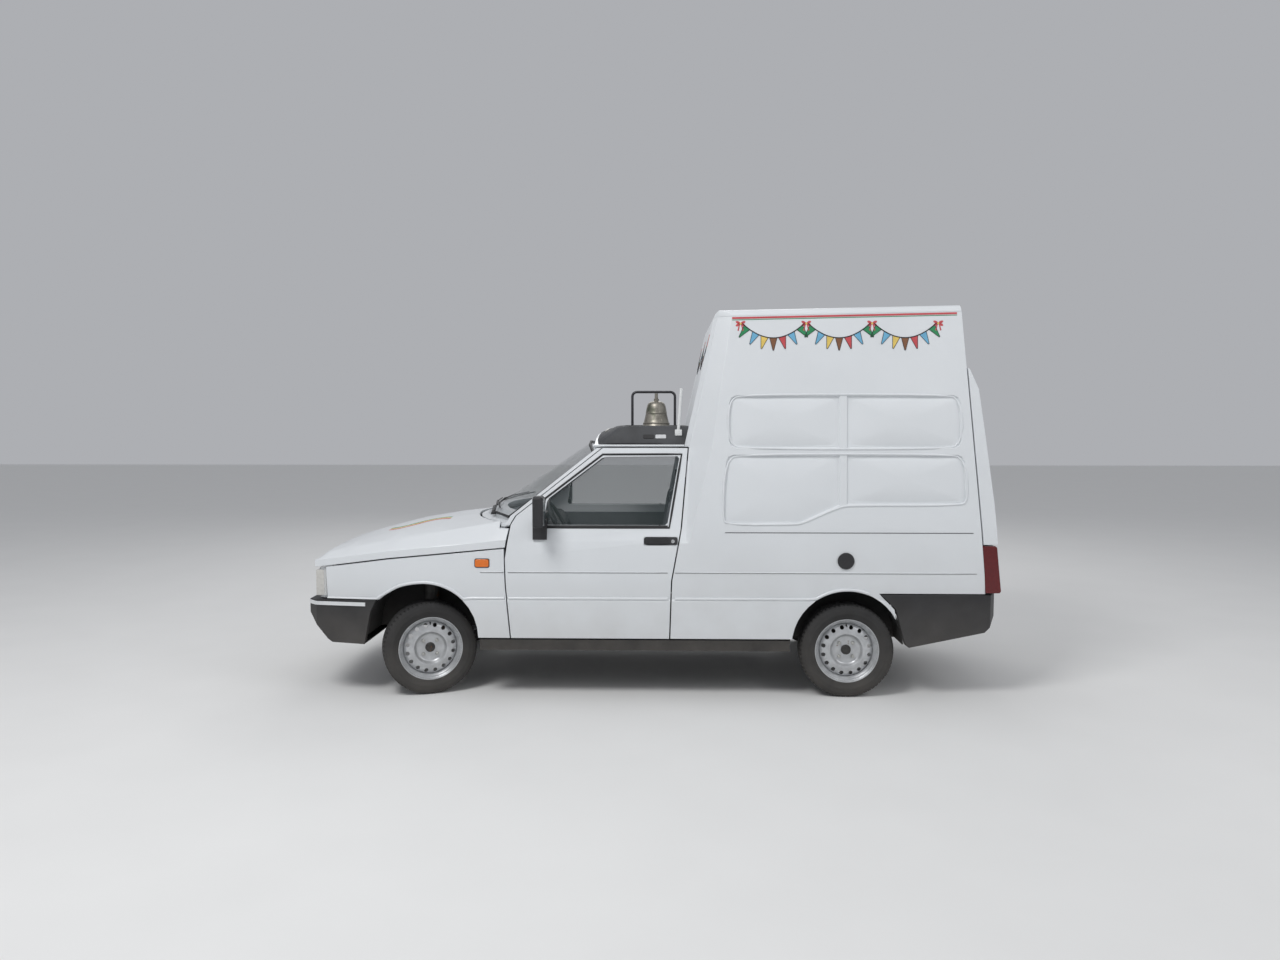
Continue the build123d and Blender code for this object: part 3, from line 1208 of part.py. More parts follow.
# Steering wheel on its column, in front of the left seat
SEAT_Y = 350
WHEEL_X = DOOR_FRONT + 262
WHEEL_Z = 985
WHEEL_TILT = 28  # degrees from upright
column_dir = Vector(cos(radians(WHEEL_TILT)), 0, sin(radians(WHEEL_TILT)))
with BuildPart() as steering_wheel:
    wheel_plane = Plane(origin=(WHEEL_X, -SEAT_Y, WHEEL_Z), x_dir=(0, 1, 0), z_dir=column_dir)
    with BuildSketch(wheel_plane.offset(-11)):
        RegularPolygon(194, 20)
        RegularPolygon(170, 20, mode=Mode.SUBTRACT)
    extrude(amount=22)
    with BuildSketch(wheel_plane.offset(-16)):
        RegularPolygon(48, 12)
        for angle in (200, 340, 90):
            with Locations((95 * cos(radians(angle)), 95 * sin(radians(angle)))):
                Rectangle(180, 26, rotation=angle)
    extrude(amount=14)
    with BuildSketch(wheel_plane.offset(-14)):
        RegularPolygon(24, 8)
    extrude(amount=-110)
    near_dash = offset(face_xz(dash), amount=SEAT, mode=Mode.PRIVATE)
    extrude(near_dash, amount=PILLAR_IN, both=True, mode=Mode.SUBTRACT)
steering_wheel.part.label = "steering_wheel"
export_step(steering_wheel.part, "parts/steering_wheel.step")

# Seats, each one closed form on its pedestal
CUSHION_FRONT = BULKHEAD_X - 610
BACK_TOP_Z = 1212
SEAT_HALF = 242
with BuildPart() as seats:
    form = [(CUSHION_FRONT, 610), (CUSHION_FRONT + 30, 706)]
    form += [(BULKHEAD_X - 190, 676), (BULKHEAD_X - 112, BACK_TOP_Z)]
    form += [(BULKHEAD_X - 20, BACK_TOP_Z - 10), (BULKHEAD_X - 70, 560), (CUSHION_FRONT + 40, 560)]
    for y in (-SEAT_Y, SEAT_Y):
        with BuildSketch(Plane.XZ.offset(-y - SEAT_HALF)):
            with BuildLine():
                Polyline(*form, close=True)
            make_face()
        extrude(amount=2 * SEAT_HALF)
    chamfer(seats.edges().filter_by(Axis.Y).filter_by(lambda edge: edge.center().Z > 600), 18)
    for y in (-SEAT_Y, SEAT_Y):
        with Locations(((CUSHION_FRONT + BULKHEAD_X) / 2 - 20, y, (FLOOR_Z + SEAT + 570) / 2)):
            Box(360, 340, 570 - FLOOR_Z - SEAT)
seats.part.label = "seats"
export_step(seats.part, "parts/seats.step")

# Fuel cap, exhaust and fuel tank
with BuildPart() as fuel_cap:
    with BuildSketch(Plane.XZ.offset(HALF_WIDTH + SEAT)):
        with Locations((AXLE_R - 23, 838)):
            RegularPolygon(50, 24)
    extrude(amount=8)
fuel_cap.part.label = "fuel_cap"
export_step(fuel_cap.part, "parts/fuel_cap.step")

PIPE_R = 21
with BuildPart() as exhaust:
    with BuildLine() as pipe_line:
        Polyline(
            (AXLE_F + 92, 120, 440 - SEAT),
            (AXLE_F + 92, 120, 320),
            (AXLE_F + 142, 120, 270),
            (AXLE_R - 520, 120, 270),
            (AXLE_R - 330, 255, 400),
            (AXLE_R + 100, 255, 400),
        )
    with BuildSketch(Plane(origin=pipe_line.line @ 0, z_dir=(0, 0, -1))):
        RegularPolygon(PIPE_R, 8)
    sweep(path=pipe_line.line, transition=Transition.RIGHT)
    with BuildLine() as tail_line:
        Polyline(
            (AXLE_R + 440, 255, 352),
            (AXLE_R + 490, 255, 352),
            (AXLE_R + 550, 255, 318),
            (AXLE_R + 870, 255, 318),
        )
    with BuildSketch(Plane(origin=tail_line.line @ 0, z_dir=(1, 0, 0))):
        RegularPolygon(PIPE_R, 8)
    sweep(path=tail_line.line, transition=Transition.RIGHT)
    with BuildSketch(Plane(origin=(AXLE_R + 80, 255, 400), z_dir=(1, 0, 0))):
        RegularPolygon(74, 16)
    extrude(amount=400)
    for x in (AXLE_R + 150, AXLE_R + 400):
        with Locations((x, 255, (400 + LOAD_Z - LOAD_T - SEAT) / 2)):
            Box(24, 12, LOAD_Z - LOAD_T - SEAT - 400)
exhaust.part.label = "exhaust"
export_step(exhaust.part, "parts/exhaust.step")

TANK_LOW = 400
TANK_TOP = LOAD_Z - LOAD_T - SEAT
with BuildPart() as fuel_tank:
    with Locations((AXLE_R - 610, -90, (TANK_LOW + TANK_TOP) / 2)):
        Box(420, 540, TANK_TOP - TANK_LOW)
    chamfer(fuel_tank.edges().filter_by(Axis.Y), 20)
fuel_tank.part.label = "fuel_tank"
export_step(fuel_tank.part, "parts/fuel_tank.step")

# Front axle: cross beam, yokes round the knuckles and struts
EAR_H = 12
with BuildPart() as front_axle:
    yoke_z = (KNUCKLE_H + 2 * EAR_H) / 2 + 0.5
    with Locations((AXLE_F, 0, TYRE_R)):
        Box(58, 2 * 522, 2 * yoke_z - 24)
    for side in (-1, 1):
        with Locations((AXLE_F, side * 512, TYRE_R)):
            Box(58, 24, 2 * yoke_z)
        for level in (-1, 1):
            with BuildSketch(Plane.XY.offset(TYRE_R + level * (KNUCKLE_H / 2 + 0.5))):
                with Locations((AXLE_F, side * (KINGPIN_Y + 510) / 2)):
                    Rectangle(52, KINGPIN_Y - 510)
                with Locations((AXLE_F, side * KINGPIN_Y)):
                    RegularPolygon(27, 8)
                    Circle(KINGPIN_R + RUN, mode=Mode.SUBTRACT)
            extrude(amount=level * EAR_H)
        strut_r = 20
        facet_drop = (ARCH_F[0] - AXLE_F + strut_r) * tan(pi / HOUSE_SIDES)
        top = ARCH_F[1] + HOUSE_F_R - facet_drop - SEAT
        with BuildSketch(Plane.XY.offset(TYRE_R + yoke_z - 12)):
            with Locations((AXLE_F, side * 502)):
                RegularPolygon(strut_r, 8)
        extrude(amount=top - TYRE_R - yoke_z + 12)
        with BuildSketch(Plane.XY.offset(top - 240)):
            with Locations((AXLE_F, side * 502)):
                RegularPolygon(46, 12)
        extrude(amount=220)
        with Locations((AXLE_F, side * RAIL_Y, (TYRE_R + 422) / 2 + 10)):
            Box(50, 40, 422 - TYRE_R - 20 - SEAT * 2)
front_axle.part.label = "front_axle"
export_step(front_axle.part, "parts/front_axle.step")

# Rear axle with its leaf springs
SPRING_Y = 505
with BuildPart() as rear_axle:
    with Locations((AXLE_R, 0, TYRE_R)):
        Box(64, 2 * 598, 64)
    chamfer(rear_axle.edges().filter_by(Axis.Y), 19)
    with Locations((AXLE_R, 0, TYRE_R)):
        Cylinder(SPINDLE_R, 2 * (TRACK_HALF + 24), rotation=(90, 0, 0))
    for side in (-1, 1):
        upper = flats((AXLE_R - 460, 388), (AXLE_R, 334), (AXLE_R + 460, 388))
        lower = flats((AXLE_R + 460, 372), (AXLE_R, 312), (AXLE_R - 460, 372))
        with BuildSketch(Plane.XZ.offset(-side * SPRING_Y - 26)):
            with BuildLine():
                Polyline(*upper, *lower, close=True)
            make_face()
        extrude(amount=52)
        for x in (AXLE_R - 452, AXLE_R + 452):
            with Locations((x, side * SPRING_Y, (376 + LOAD_Z - LOAD_T - SEAT) / 2)):
                Box(24, 40, LOAD_Z - LOAD_T - SEAT - 376)
rear_axle.part.label = "rear_axle"
export_step(rear_axle.part, "parts/rear_axle.step")

# Wheel forms about +Z, which points away from the vehicle: radius, distance outboard
WHEEL_SIDES = 24
TREAD_SIDES = 32
BARREL_R = 182
RIM_OUTER = ((RIM_R, -70), (BARREL_R, -61), (BARREL_R, 61), (RIM_R, 70))
RIM_INNER = ((RIM_R - 10, -70), (BARREL_R - 10, -46), (BARREL_R - 10, 46), (RIM_R - 10, 70))
DISC_OUTER = ((BARREL_R - 6, 4), (150, 38), (130, 52))
DISC_INNER = ((BARREL_R - 14, 4), (145, 28))
DISC_CENTRE = ((80, 36), (104, 52))
VENT_R = 136
VENT_FORM = ((7, -7), (7, 7), (0, 13), (-7, 7), (-7, -7), (0, -13))
with BuildPart() as rim_form:
    loft(drum_faces(RIM_OUTER, WHEEL_SIDES), ruled=True)
    loft(drum_faces(RIM_INNER, WHEEL_SIDES), ruled=True, mode=Mode.SUBTRACT)
    loft(drum_faces(DISC_OUTER, WHEEL_SIDES), ruled=True)
    loft(drum_faces(DISC_INNER, WHEEL_SIDES), ruled=True, mode=Mode.SUBTRACT)
    loft(drum_faces(DISC_CENTRE, WHEEL_SIDES), ruled=True, mode=Mode.SUBTRACT)
    with BuildSketch(Plane.XY.offset(20)):
        with PolarLocations(VENT_R, VENTS):
            Polygon(*VENT_FORM, align=None)
    extrude(amount=40, mode=Mode.SUBTRACT)
    loft(drum_faces(((HUB_R, -30), (HUB_R, 36), (30, 38), (26, 53)), 12), ruled=True)
    with Locations((0, 0, -30)):
        Cylinder(SPINDLE_R + RUN, 57, align=(Align.CENTER, Align.CENTER, Align.MIN), mode=Mode.SUBTRACT)

WALL_Y = TYRE_W / 2
BEAD_R = BARREL_R + SEAT
TYRE_OUTER = ((242, -WALL_Y), (270, -74), (TYRE_R, -48), (TYRE_R, 48), (270, 74), (242, WALL_Y))
TYRE_INNER = ((234, -WALL_Y), (BEAD_R, -60), (BEAD_R, 60), (234, WALL_Y))
with BuildPart() as tyre_form:
    loft(drum_faces(TYRE_OUTER, TREAD_SIDES), ruled=True)
    loft(drum_faces(TYRE_INNER, WHEEL_SIDES), ruled=True, mode=Mode.SUBTRACT)


def wheel_seat(side, steer, axle_x):
    """The plane of a wheel, its z pointing away from the vehicle, turned about the kingpin."""
    arm = TRACK_HALF - KINGPIN_Y
    outward = Vector(0, side, 0).rotate(Axis.Z, steer)
    pin = Vector(axle_x, side * KINGPIN_Y, TYRE_R)
    return Plane(origin=pin + outward * arm, x_dir=(0, 0, 1), z_dir=outward)


WHEELS = (  # name, side, degrees turned, axle
    ("front_left", -1, STEER_REST, AXLE_F),
    ("front_right", 1, STEER_REST, AXLE_F),
    ("rear_left", -1, 0, AXLE_R),
    ("rear_right", 1, 0, AXLE_R),
)
for name, side, steer, axle_x in WHEELS:
    seat_plane = wheel_seat(side, steer, axle_x)
    with BuildPart() as rim:
        with Locations(seat_plane):
            add(rim_form.part)
    rim.part.label = f"rim_{name}"
    export_step(rim.part, f"parts/rim_{name}.step")
    with BuildPart() as tyre:
        with Locations(seat_plane):
            add(tyre_form.part)
    tyre.part.label = f"tyre_{name}"
    export_step(tyre.part, f"parts/tyre_{name}.step")

# Knuckles: barrel and pins on the kingpin axis, with the wheel's spindle
for name, side, steer, axle_x in WHEELS[:2]:
    seat_plane = wheel_seat(side, steer, axle_x)
    arm = TRACK_HALF - KINGPIN_Y
    with BuildPart() as knuckle:
        with Locations((axle_x, side * KINGPIN_Y, TYRE_R)):
            Cylinder(KINGPIN_R, KNUCKLE_H + 2 * EAR_H + 4)
        with BuildSketch(Plane.XY.offset(TYRE_R - KNUCKLE_H / 2)):
            with Locations((axle_x, side * KINGPIN_Y)):
                RegularPolygon(27, 8)
        extrude(amount=KNUCKLE_H)
        with BuildSketch(seat_plane.offset(-arm)):
            Circle(SPINDLE_R)
        extrude(amount=arm + 24)
    knuckle.part.label = f"knuckle_{name[6:]}"
    export_step(knuckle.part, f"parts/knuckle_{name[6:]}.step")
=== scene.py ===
"""Looks of the ice cream truck: finishes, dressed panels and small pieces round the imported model.

Metres, in the model's own frame: +X runs to the rear, +Y to the vehicle's right and +Z up.
"""

import json
from math import atan2, cos, hypot, pi, radians, sin

import bmesh
import bpy
from mathutils import Matrix, Vector
from mathutils.bvhtree import BVHTree


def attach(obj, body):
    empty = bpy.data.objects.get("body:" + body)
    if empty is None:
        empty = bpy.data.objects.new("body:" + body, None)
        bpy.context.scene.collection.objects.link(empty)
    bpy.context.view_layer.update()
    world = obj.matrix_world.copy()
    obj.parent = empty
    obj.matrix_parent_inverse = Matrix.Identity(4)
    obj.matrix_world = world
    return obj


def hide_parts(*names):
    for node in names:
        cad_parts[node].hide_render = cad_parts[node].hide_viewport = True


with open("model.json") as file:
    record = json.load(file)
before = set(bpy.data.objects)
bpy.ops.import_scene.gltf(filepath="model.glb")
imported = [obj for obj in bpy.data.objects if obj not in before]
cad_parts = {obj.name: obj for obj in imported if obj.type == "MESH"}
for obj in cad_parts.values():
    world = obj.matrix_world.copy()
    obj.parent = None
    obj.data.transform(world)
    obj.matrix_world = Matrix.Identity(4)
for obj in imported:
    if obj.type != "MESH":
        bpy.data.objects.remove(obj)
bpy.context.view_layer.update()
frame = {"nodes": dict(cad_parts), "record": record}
NODES = frame["nodes"]
BODY_OF = {node: body for body, members in frame["record"]["behaviour"]["bodies"].items() for node in members}
SIDES = (("left", -1), ("right", 1))


# Meshes
def link(name, mesh, material, body, smooth=35, bevel=0.0, segments=2):
    """A piece from a mesh or bmesh, with its finish, riding on a body."""
    if isinstance(mesh, bmesh.types.BMesh):
        data = bpy.data.meshes.new(name)
        bmesh.ops.recalc_face_normals(mesh, faces=mesh.faces)
        mesh.to_mesh(data)
        mesh.free()
    else:
        data = mesh
    piece = bpy.data.objects.new(name, data)
    bpy.context.scene.collection.objects.link(piece)
    data.materials.clear()
    data.materials.append(material)
    if bevel:
        rounding = piece.modifiers.new("edges", "BEVEL")
        rounding.width = bevel
        rounding.segments = segments
        rounding.limit_method = "ANGLE"
        rounding.angle_limit = radians(28)
        rounding.harden_normals = False
    shade(data, smooth)
    if body:
        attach(piece, body)
    return piece


def shade(data, angle):
    """Smooth faces, with edges over an angle kept sharp."""
    work = bmesh.new()
    work.from_mesh(data)
    for edge in work.edges:
        sharp = len(edge.link_faces) == 2 and edge.calc_face_angle(0) > radians(angle)
        edge.smooth = not sharp
    for face in work.faces:
        face.smooth = True
    work.to_mesh(data)
    work.free()


def cad_mesh(node):
    """A welded copy of a CAD node's mesh, its flat facets joined."""
    work = bmesh.new()
    work.from_mesh(NODES[node].data)
    bmesh.ops.remove_doubles(work, verts=work.verts, dist=0.00002)
    limit = radians(0.06)
    bmesh.ops.dissolve_limit(work, angle_limit=limit, verts=work.verts, edges=work.edges, delimit=set())
    return work


def dress(node, material, bevel=0.003, smooth=32, segments=2):
    """The CAD node's own form with rounded edges and its finish."""
    piece = link(node + "_dressed", cad_mesh(node), material, BODY_OF[node], smooth, bevel,
                 segments)
    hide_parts(node)
    return piece


def join_into(target, source):
    """Adds one bmesh to another."""
    data = bpy.data.meshes.new("part")
    source.to_mesh(data)
    source.free()
    target.from_mesh(data)
    bpy.data.meshes.remove(data)
    return target


def block(centre, size, rounding=0.0, turn=None, segments=2):
    """A closed block with rounded edges."""
    work = bmesh.new()
    bmesh.ops.create_cube(work, size=1)
    bmesh.ops.scale(work, vec=size, verts=work.verts)
    if rounding:
        bmesh.ops.bevel(
            work, geom=work.edges[:], offset=rounding, segments=segments, profile=0.5, affect="EDGES",
            clamp_overlap=True
        )
    if turn:
        work.transform(turn.to_4x4())
    bmesh.ops.translate(work, vec=centre, verts=work.verts)
    return work


def lathe(profile, place=Matrix.Identity(4), steps=48, closed=False):
    """A form of revolution about z from (radius, z) points, then put in its place."""
    work = bmesh.new()
    rings = []
    for radius, height in profile:
        if radius < 1e-6:
            rings.append([work.verts.new((0, 0, height))])
            continue
        ring = []
        for step in range(steps):
            angle = 2 * pi * step / steps
            ring.append(work.verts.new((radius * cos(angle), radius * sin(angle), height)))
        rings.append(ring)
    pairs = list(zip(rings, rings[1:]))
    if closed:
        pairs.append((rings[-1], rings[0]))
    for low, high in pairs:
        for step in range(steps):
            after = (step + 1) % steps
            corners = [low[step % len(low)], low[after % len(low)], high[after % len(high)],
                       high[step % len(high)]]
            corners = list(dict.fromkeys(corners))
            if len(corners) > 2:
                work.faces.new(corners)
    work.transform(place)
    return work


def tube(points, radius, sides=12, closed=False, capped=True):
    """A round tube along a line of points; radius may be a list, one for each point."""
    work = bmesh.new()
    points = [Vector(p) for p in points]
    count = len(points)
    rings = []
    normal = None
    for index, point in enumerate(points):
        before = points[index - 1] if index or closed else point
        after = points[(index + 1) % count] if index + 1 < count or closed else point
        along = (after - before).normalized()
        if normal is None:
            normal = along.orthogonal().normalized()
        normal = (normal - along * normal.dot(along)).normalized()
        side = along.cross(normal)
        thick = radius[index] if isinstance(radius, (list, tuple)) else radius
        ring = []
        for step in range(sides):
            angle = 2 * pi * step / sides
            ring.append(work.verts.new(point + normal * thick * cos(angle) + side * thick * sin(angle)))
        rings.append(ring)
    pairs = list(zip(rings, rings[1:]))
    if closed:
        pairs.append((rings[-1], rings[0]))
    for low, high in pairs:
        for step in range(sides):
            after = (step + 1) % sides
            work.faces.new((low[step], low[after], high[after], high[step]))
    if capped and not closed:
        work.faces.new(rings[0][::-1])
        work.faces.new(rings[-1])
    return work


def slab(outline, depth, place):
    """An outline in a plane's x and y, made solid by a depth along its z."""
    work = bmesh.new()
    low = [work.verts.new((x, y, 0)) for x, y in outline]
    high = [work.verts.new((x, y, depth)) for x, y in outline]
    work.faces.new(low[::-1])
    work.faces.new(high)
    for index in range(len(outline)):
        after = (index + 1) % len(outline)
        work.faces.new((low[index], low[after], high[after], high[index]))
    work.transform(place)
    return work


def rounded(width, height, radius, steps=5):
    """Outline of a rectangle with round corners, about its centre."""
    points = []
    for quarter, (sx, sy) in enumerate(((1, 1), (-1, 1), (-1, -1), (1, -1))):
        cx = sx * (width / 2 - radius)
        cy = sy * (height / 2 - radius)
        for step in range(steps + 1):
            angle = pi / 2 * (quarter + step / steps)
            points.append((cx + radius * cos(angle), cy + radius * sin(angle)))
    return points


def placed(origin, x_dir, z_dir):
    """A matrix at an origin with given x and z directions."""
    z_axis = Vector(z_dir).normalized()
    y_axis = z_axis.cross(Vector(x_dir)).normalized()
    x_axis = y_axis.cross(z_axis)
    rows = Matrix((x_axis, y_axis, z_axis)).transposed()
    return Matrix.Translation(Vector(origin)) @ rows.to_4x4()


def arc(centre, radius, start, end, steps=8):
    """Points in a plane on an arc, angles in degrees."""
    cx, cy = centre
    angles = [radians(start + (end - start) * step / steps) for step in range(steps + 1)]
    return [(cx + radius * cos(a), cy + radius * sin(a)) for a in angles]


def soft_line(points, rounds=2):
    """A line of points with its corners cut off again and again."""
    line = [Vector(p) for p in points]
    for _ in range(rounds):
        fresh = [line[0]]
        for a, b in zip(line, line[1:]):
            fresh += [a.lerp(b, 0.25), a.lerp(b, 0.75)]
        line = fresh + [line[-1]]
    return line


# Finishes
def finish(name, colour, rough, metal=0.0, coat=0.0, vary=0.04, grain=40.0, bump=0.0, bump_scale=400.0,
           **extra):
    """A surface with slow colour change, uneven gloss and fine relief."""
    material = bpy.data.materials.new(name)
    material.use_nodes = True
    tree = material.node_tree
    shader = tree.nodes["Principled BSDF"]
    shader.inputs["Metallic"].default_value = metal
    shader.inputs["Coat Weight"].default_value = coat
    shader.inputs["Coat Roughness"].default_value = 0.08
    for key, value in extra.items():
        if key in ("grime", "weave", "rust"):
            continue
        shader.inputs[key.replace("_", " ")].default_value = value
    place = tree.nodes.new("ShaderNodeTexCoord")
    cloud = tree.nodes.new("ShaderNodeTexNoise")
    cloud.inputs["Scale"].default_value = grain
    cloud.inputs["Detail"].default_value = 6
    tree.links.new(place.outputs["Object"], cloud.inputs["Vector"])
    ramp = tree.nodes.new("ShaderNodeValToRGB")
    dark = [c * (1 - vary) for c in colour]
    light = [min(1.0, c * (1 + vary)) for c in colour]
    ramp.color_ramp.elements[0].position = 0.3
    ramp.color_ramp.elements[1].position = 0.7
    ramp.color_ramp.elements[0].color = (*dark, 1)
    ramp.color_ramp.elements[1].color = (*light, 1)
    tree.links.new(cloud.outputs["Fac"], ramp.inputs["Fac"])
    shown = ramp.outputs["Color"]
    if "grime" in extra:
        shown = add_grime(tree, place, shown, *extra["grime"])
    if "rust" in extra:
        shown = add_spots(tree, place, shown, *extra["rust"])
    tree.links.new(shown, shader.inputs["Base Color"])
    gloss = tree.nodes.new("ShaderNodeMapRange")
    gloss.inputs["To Min"].default_value = max(0.02, rough * 0.85)
    gloss.inputs["To Max"].default_value = min(1.0, rough * 1.2)
    tree.links.new(cloud.outputs["Fac"], gloss.inputs["Value"])
    tree.links.new(gloss.outputs["Result"], shader.inputs["Roughness"])
    if bump:
        relief = tree.nodes.new("ShaderNodeTexNoise")
        relief.inputs["Scale"].default_value = bump_scale
        relief.inputs["Detail"].default_value = 3
        tree.links.new(place.outputs["Object"], relief.inputs["Vector"])
        height = relief.outputs["Fac"]
        if "weave" in extra:
            height = add_weave(tree, place, extra["weave"])
        lift = tree.nodes.new("ShaderNodeBump")
        lift.inputs["Strength"].default_value = 1.0
        lift.inputs["Distance"].default_value = bump
        tree.links.new(height, lift.inputs["Height"])
        tree.links.new(lift.outputs["Normal"], shader.inputs["Normal"])
    return material


def blend_colour(tree, amount, base, colour):
    """The base colour with another laid over it by an amount."""
    mix = tree.nodes.new("ShaderNodeMix")
    mix.data_type = "RGBA"
    tree.links.new(amount, mix.inputs["Factor"])
    tree.links.new(base, mix.inputs["A"])
    mix.inputs["B"].default_value = (*colour, 1)
    return mix.outputs["Result"]


def add_grime(tree, place, base, colour, low, high, strength):
    """Road dust that thins out between two heights."""
    split = tree.nodes.new("ShaderNodeSeparateXYZ")
    tree.links.new(place.outputs["Object"], split.inputs["Vector"])
    fade = tree.nodes.new("ShaderNodeMapRange")
    fade.inputs["From Min"].default_value = low
    fade.inputs["From Max"].default_value = high
    fade.inputs["To Min"].default_value = strength
    fade.inputs["To Max"].default_value = 0.0
    tree.links.new(split.outputs["Z"], fade.inputs["Value"])
    patch = tree.nodes.new("ShaderNodeTexNoise")
    patch.inputs["Scale"].default_value = 6.0
    patch.inputs["Detail"].default_value = 8
    tree.links.new(place.outputs["Object"], patch.inputs["Vector"])
    product = tree.nodes.new("ShaderNodeMath")
    product.operation = "MULTIPLY"
    tree.links.new(fade.outputs["Result"], product.inputs[0])
    tree.links.new(patch.outputs["Fac"], product.inputs[1])
    return blend_colour(tree, product.outputs["Value"], base, colour)


def add_spots(tree, place, base, colour, scale, share):
    """Patches of another colour, such as rust, over a share of the surface."""
    patch = tree.nodes.new("ShaderNodeTexNoise")
    patch.inputs["Scale"].default_value = scale
    patch.inputs["Detail"].default_value = 10
    tree.links.new(place.outputs["Object"], patch.inputs["Vector"])
    edge = tree.nodes.new("ShaderNodeMapRange")
    edge.inputs["From Min"].default_value = 0.72 - share
    edge.inputs["From Max"].default_value = 0.80 - share
    tree.links.new(patch.outputs["Fac"], edge.inputs["Value"])
    return blend_colour(tree, edge.outputs["Result"], base, colour)


def add_weave(tree, place, threads):
    """Height of crossing threads."""
    waves = []
    for direction in ("X", "Z"):
        wave = tree.nodes.new("ShaderNodeTexWave")
        wave.bands_direction = direction
        wave.inputs["Scale"].default_value = threads
        wave.inputs["Distortion"].default_value = 0.3
        tree.links.new(place.outputs["Object"], wave.inputs["Vector"])
        waves.append(wave.outputs["Fac"])
    top = tree.nodes.new("ShaderNodeMath")
    top.operation = "MAXIMUM"
    tree.links.new(waves[0], top.inputs[0])
    tree.links.new(waves[1], top.inputs[1])
    return top.outputs["Value"]


def clear(name, colour, rough, alpha):
    """Clear glass or plastic, lightly dusty."""
    material = finish(name, colour, rough, vary=0.02, grain=12.0)
    shader = material.node_tree.nodes["Principled BSDF"]
    shader.inputs["Alpha"].default_value = alpha
    shader.inputs["IOR"].default_value = 1.5
    return material


DUST = (0.30, 0.27, 0.23)
PAINT = finish("white_paint", (0.72, 0.745, 0.765), 0.30, coat=0.3, vary=0.015, grain=3.0, bump=0.00004,
               bump_scale=250.0, grime=(DUST, 0.28, 0.75, 0.45))
GEL = finish("box_gelcoat", (0.72, 0.745, 0.765), 0.42, coat=0.12, vary=0.02, grain=2.0, bump=0.0002,
             bump_scale=18.0, grime=(DUST, 0.4, 1.1, 0.25))
BLACK = finish("black_moulding", (0.022, 0.022, 0.024), 0.55, vary=0.25, grain=9.0, bump=0.00015,
               bump_scale=900.0, grime=(DUST, 0.25, 0.65, 0.30))
RUBBER = finish("rubber_seal", (0.018, 0.018, 0.019), 0.62, vary=0.2, grain=30.0, bump=0.0001,
                bump_scale=600.0)
TYRE = finish("tyre", (0.022, 0.022, 0.023), 0.8, vary=0.3, grain=14.0, bump=0.0002, bump_scale=500.0,
              grime=(DUST, 0.0, 0.6, 0.30))
UNDER = finish("underseal", (0.02, 0.02, 0.021), 0.85, vary=0.4, grain=20.0, bump=0.0006, bump_scale=160.0,
               grime=(DUST, 0.2, 0.6, 0.35))
STEEL = finish("wheel_steel", (0.52, 0.53, 0.54), 0.36, metal=0.55, vary=0.12, grain=25.0, bump=0.0001,
               bump_scale=300.0, rust=((0.16, 0.09, 0.05), 30.0, 0.02))
CAST = finish("cast_iron", (0.09, 0.088, 0.085), 0.7, metal=0.6, vary=0.35, grain=30.0, bump=0.0004,
              bump_scale=260.0, rust=((0.14, 0.07, 0.035), 16.0, 0.14))
PIPE = finish("pipe_steel", (0.22, 0.2, 0.18), 0.55, metal=0.8, vary=0.25, grain=20.0, bump=0.0002,
              bump_scale=200.0, rust=((0.18, 0.085, 0.04), 12.0, 0.18))
ZINC = finish("zinc", (0.5, 0.5, 0.48), 0.42, metal=0.9, vary=0.12, grain=50.0, bump=0.00008,
              bump_scale=500.0)
CHROME = finish("bright_metal", (0.72, 0.73, 0.74), 0.12, metal=1.0, vary=0.03, grain=20.0)
BRONZE = finish("bell_metal", (0.31, 0.29, 0.25), 0.42, metal=0.85, vary=0.25, grain=22.0, bump=0.0002,
                bump_scale=90.0, rust=((0.14, 0.15, 0.11), 9.0, 0.12))
FRAME_TUBE = finish("dark_tube", (0.05, 0.05, 0.055), 0.4, metal=0.3, vary=0.2, grain=40.0, bump=0.0001,
                    bump_scale=400.0, rust=((0.16, 0.08, 0.04), 40.0, 0.04))
POST_WHITE = finish("post_white", (0.72, 0.73, 0.73), 0.4, vary=0.05, grain=18.0, bump=0.0001,
                    bump_scale=300.0)
POD = finish("pod_moulding", (0.05, 0.052, 0.056), 0.6, vary=0.3, grain=8.0, bump=0.0005, bump_scale=220.0)
TRIM = finish("dark_trim", (0.045, 0.045, 0.048), 0.6, vary=0.15, grain=10.0, bump=0.0003, bump_scale=700.0)
CARD = finish("door_card", (0.11, 0.115, 0.125), 0.75, vary=0.15, grain=12.0, bump=0.0003, bump_scale=500.0)
CLOTH = finish("seat_cloth", (0.085, 0.09, 0.11), 0.9, vary=0.25, grain=60.0, bump=0.0008, weave=420.0,
               Sheen_Weight=0.4, Sheen_Roughness=0.5)
CARPET = finish("carpet", (0.06, 0.06, 0.065), 0.95, vary=0.4, grain=200.0, bump=0.002, bump_scale=500.0)
LINING = finish("head_lining", (0.45, 0.45, 0.44), 0.9, vary=0.06, grain=30.0, bump=0.0004, bump_scale=420.0)
PLATE = finish("blank_plate", (0.66, 0.5, 0.08), 0.35, vary=0.05, grain=20.0, bump=0.00006, bump_scale=300.0)
DECK = finish("load_floor", (0.24, 0.245, 0.25), 0.5, metal=0.6, vary=0.15, grain=8.0, bump=0.0005,
              bump_scale=60.0)
WHITE_TRIM = finish("white_trim", (0.7, 0.71, 0.72), 0.4, vary=0.06, grain=15.0, bump=0.0001,
                    bump_scale=300.0)
GLASS = clear("window_glass", (0.10, 0.13, 0.13), 0.03, 0.14)
LENS = clear("lamp_glass", (0.75, 0.78, 0.8), 0.06, 0.35)
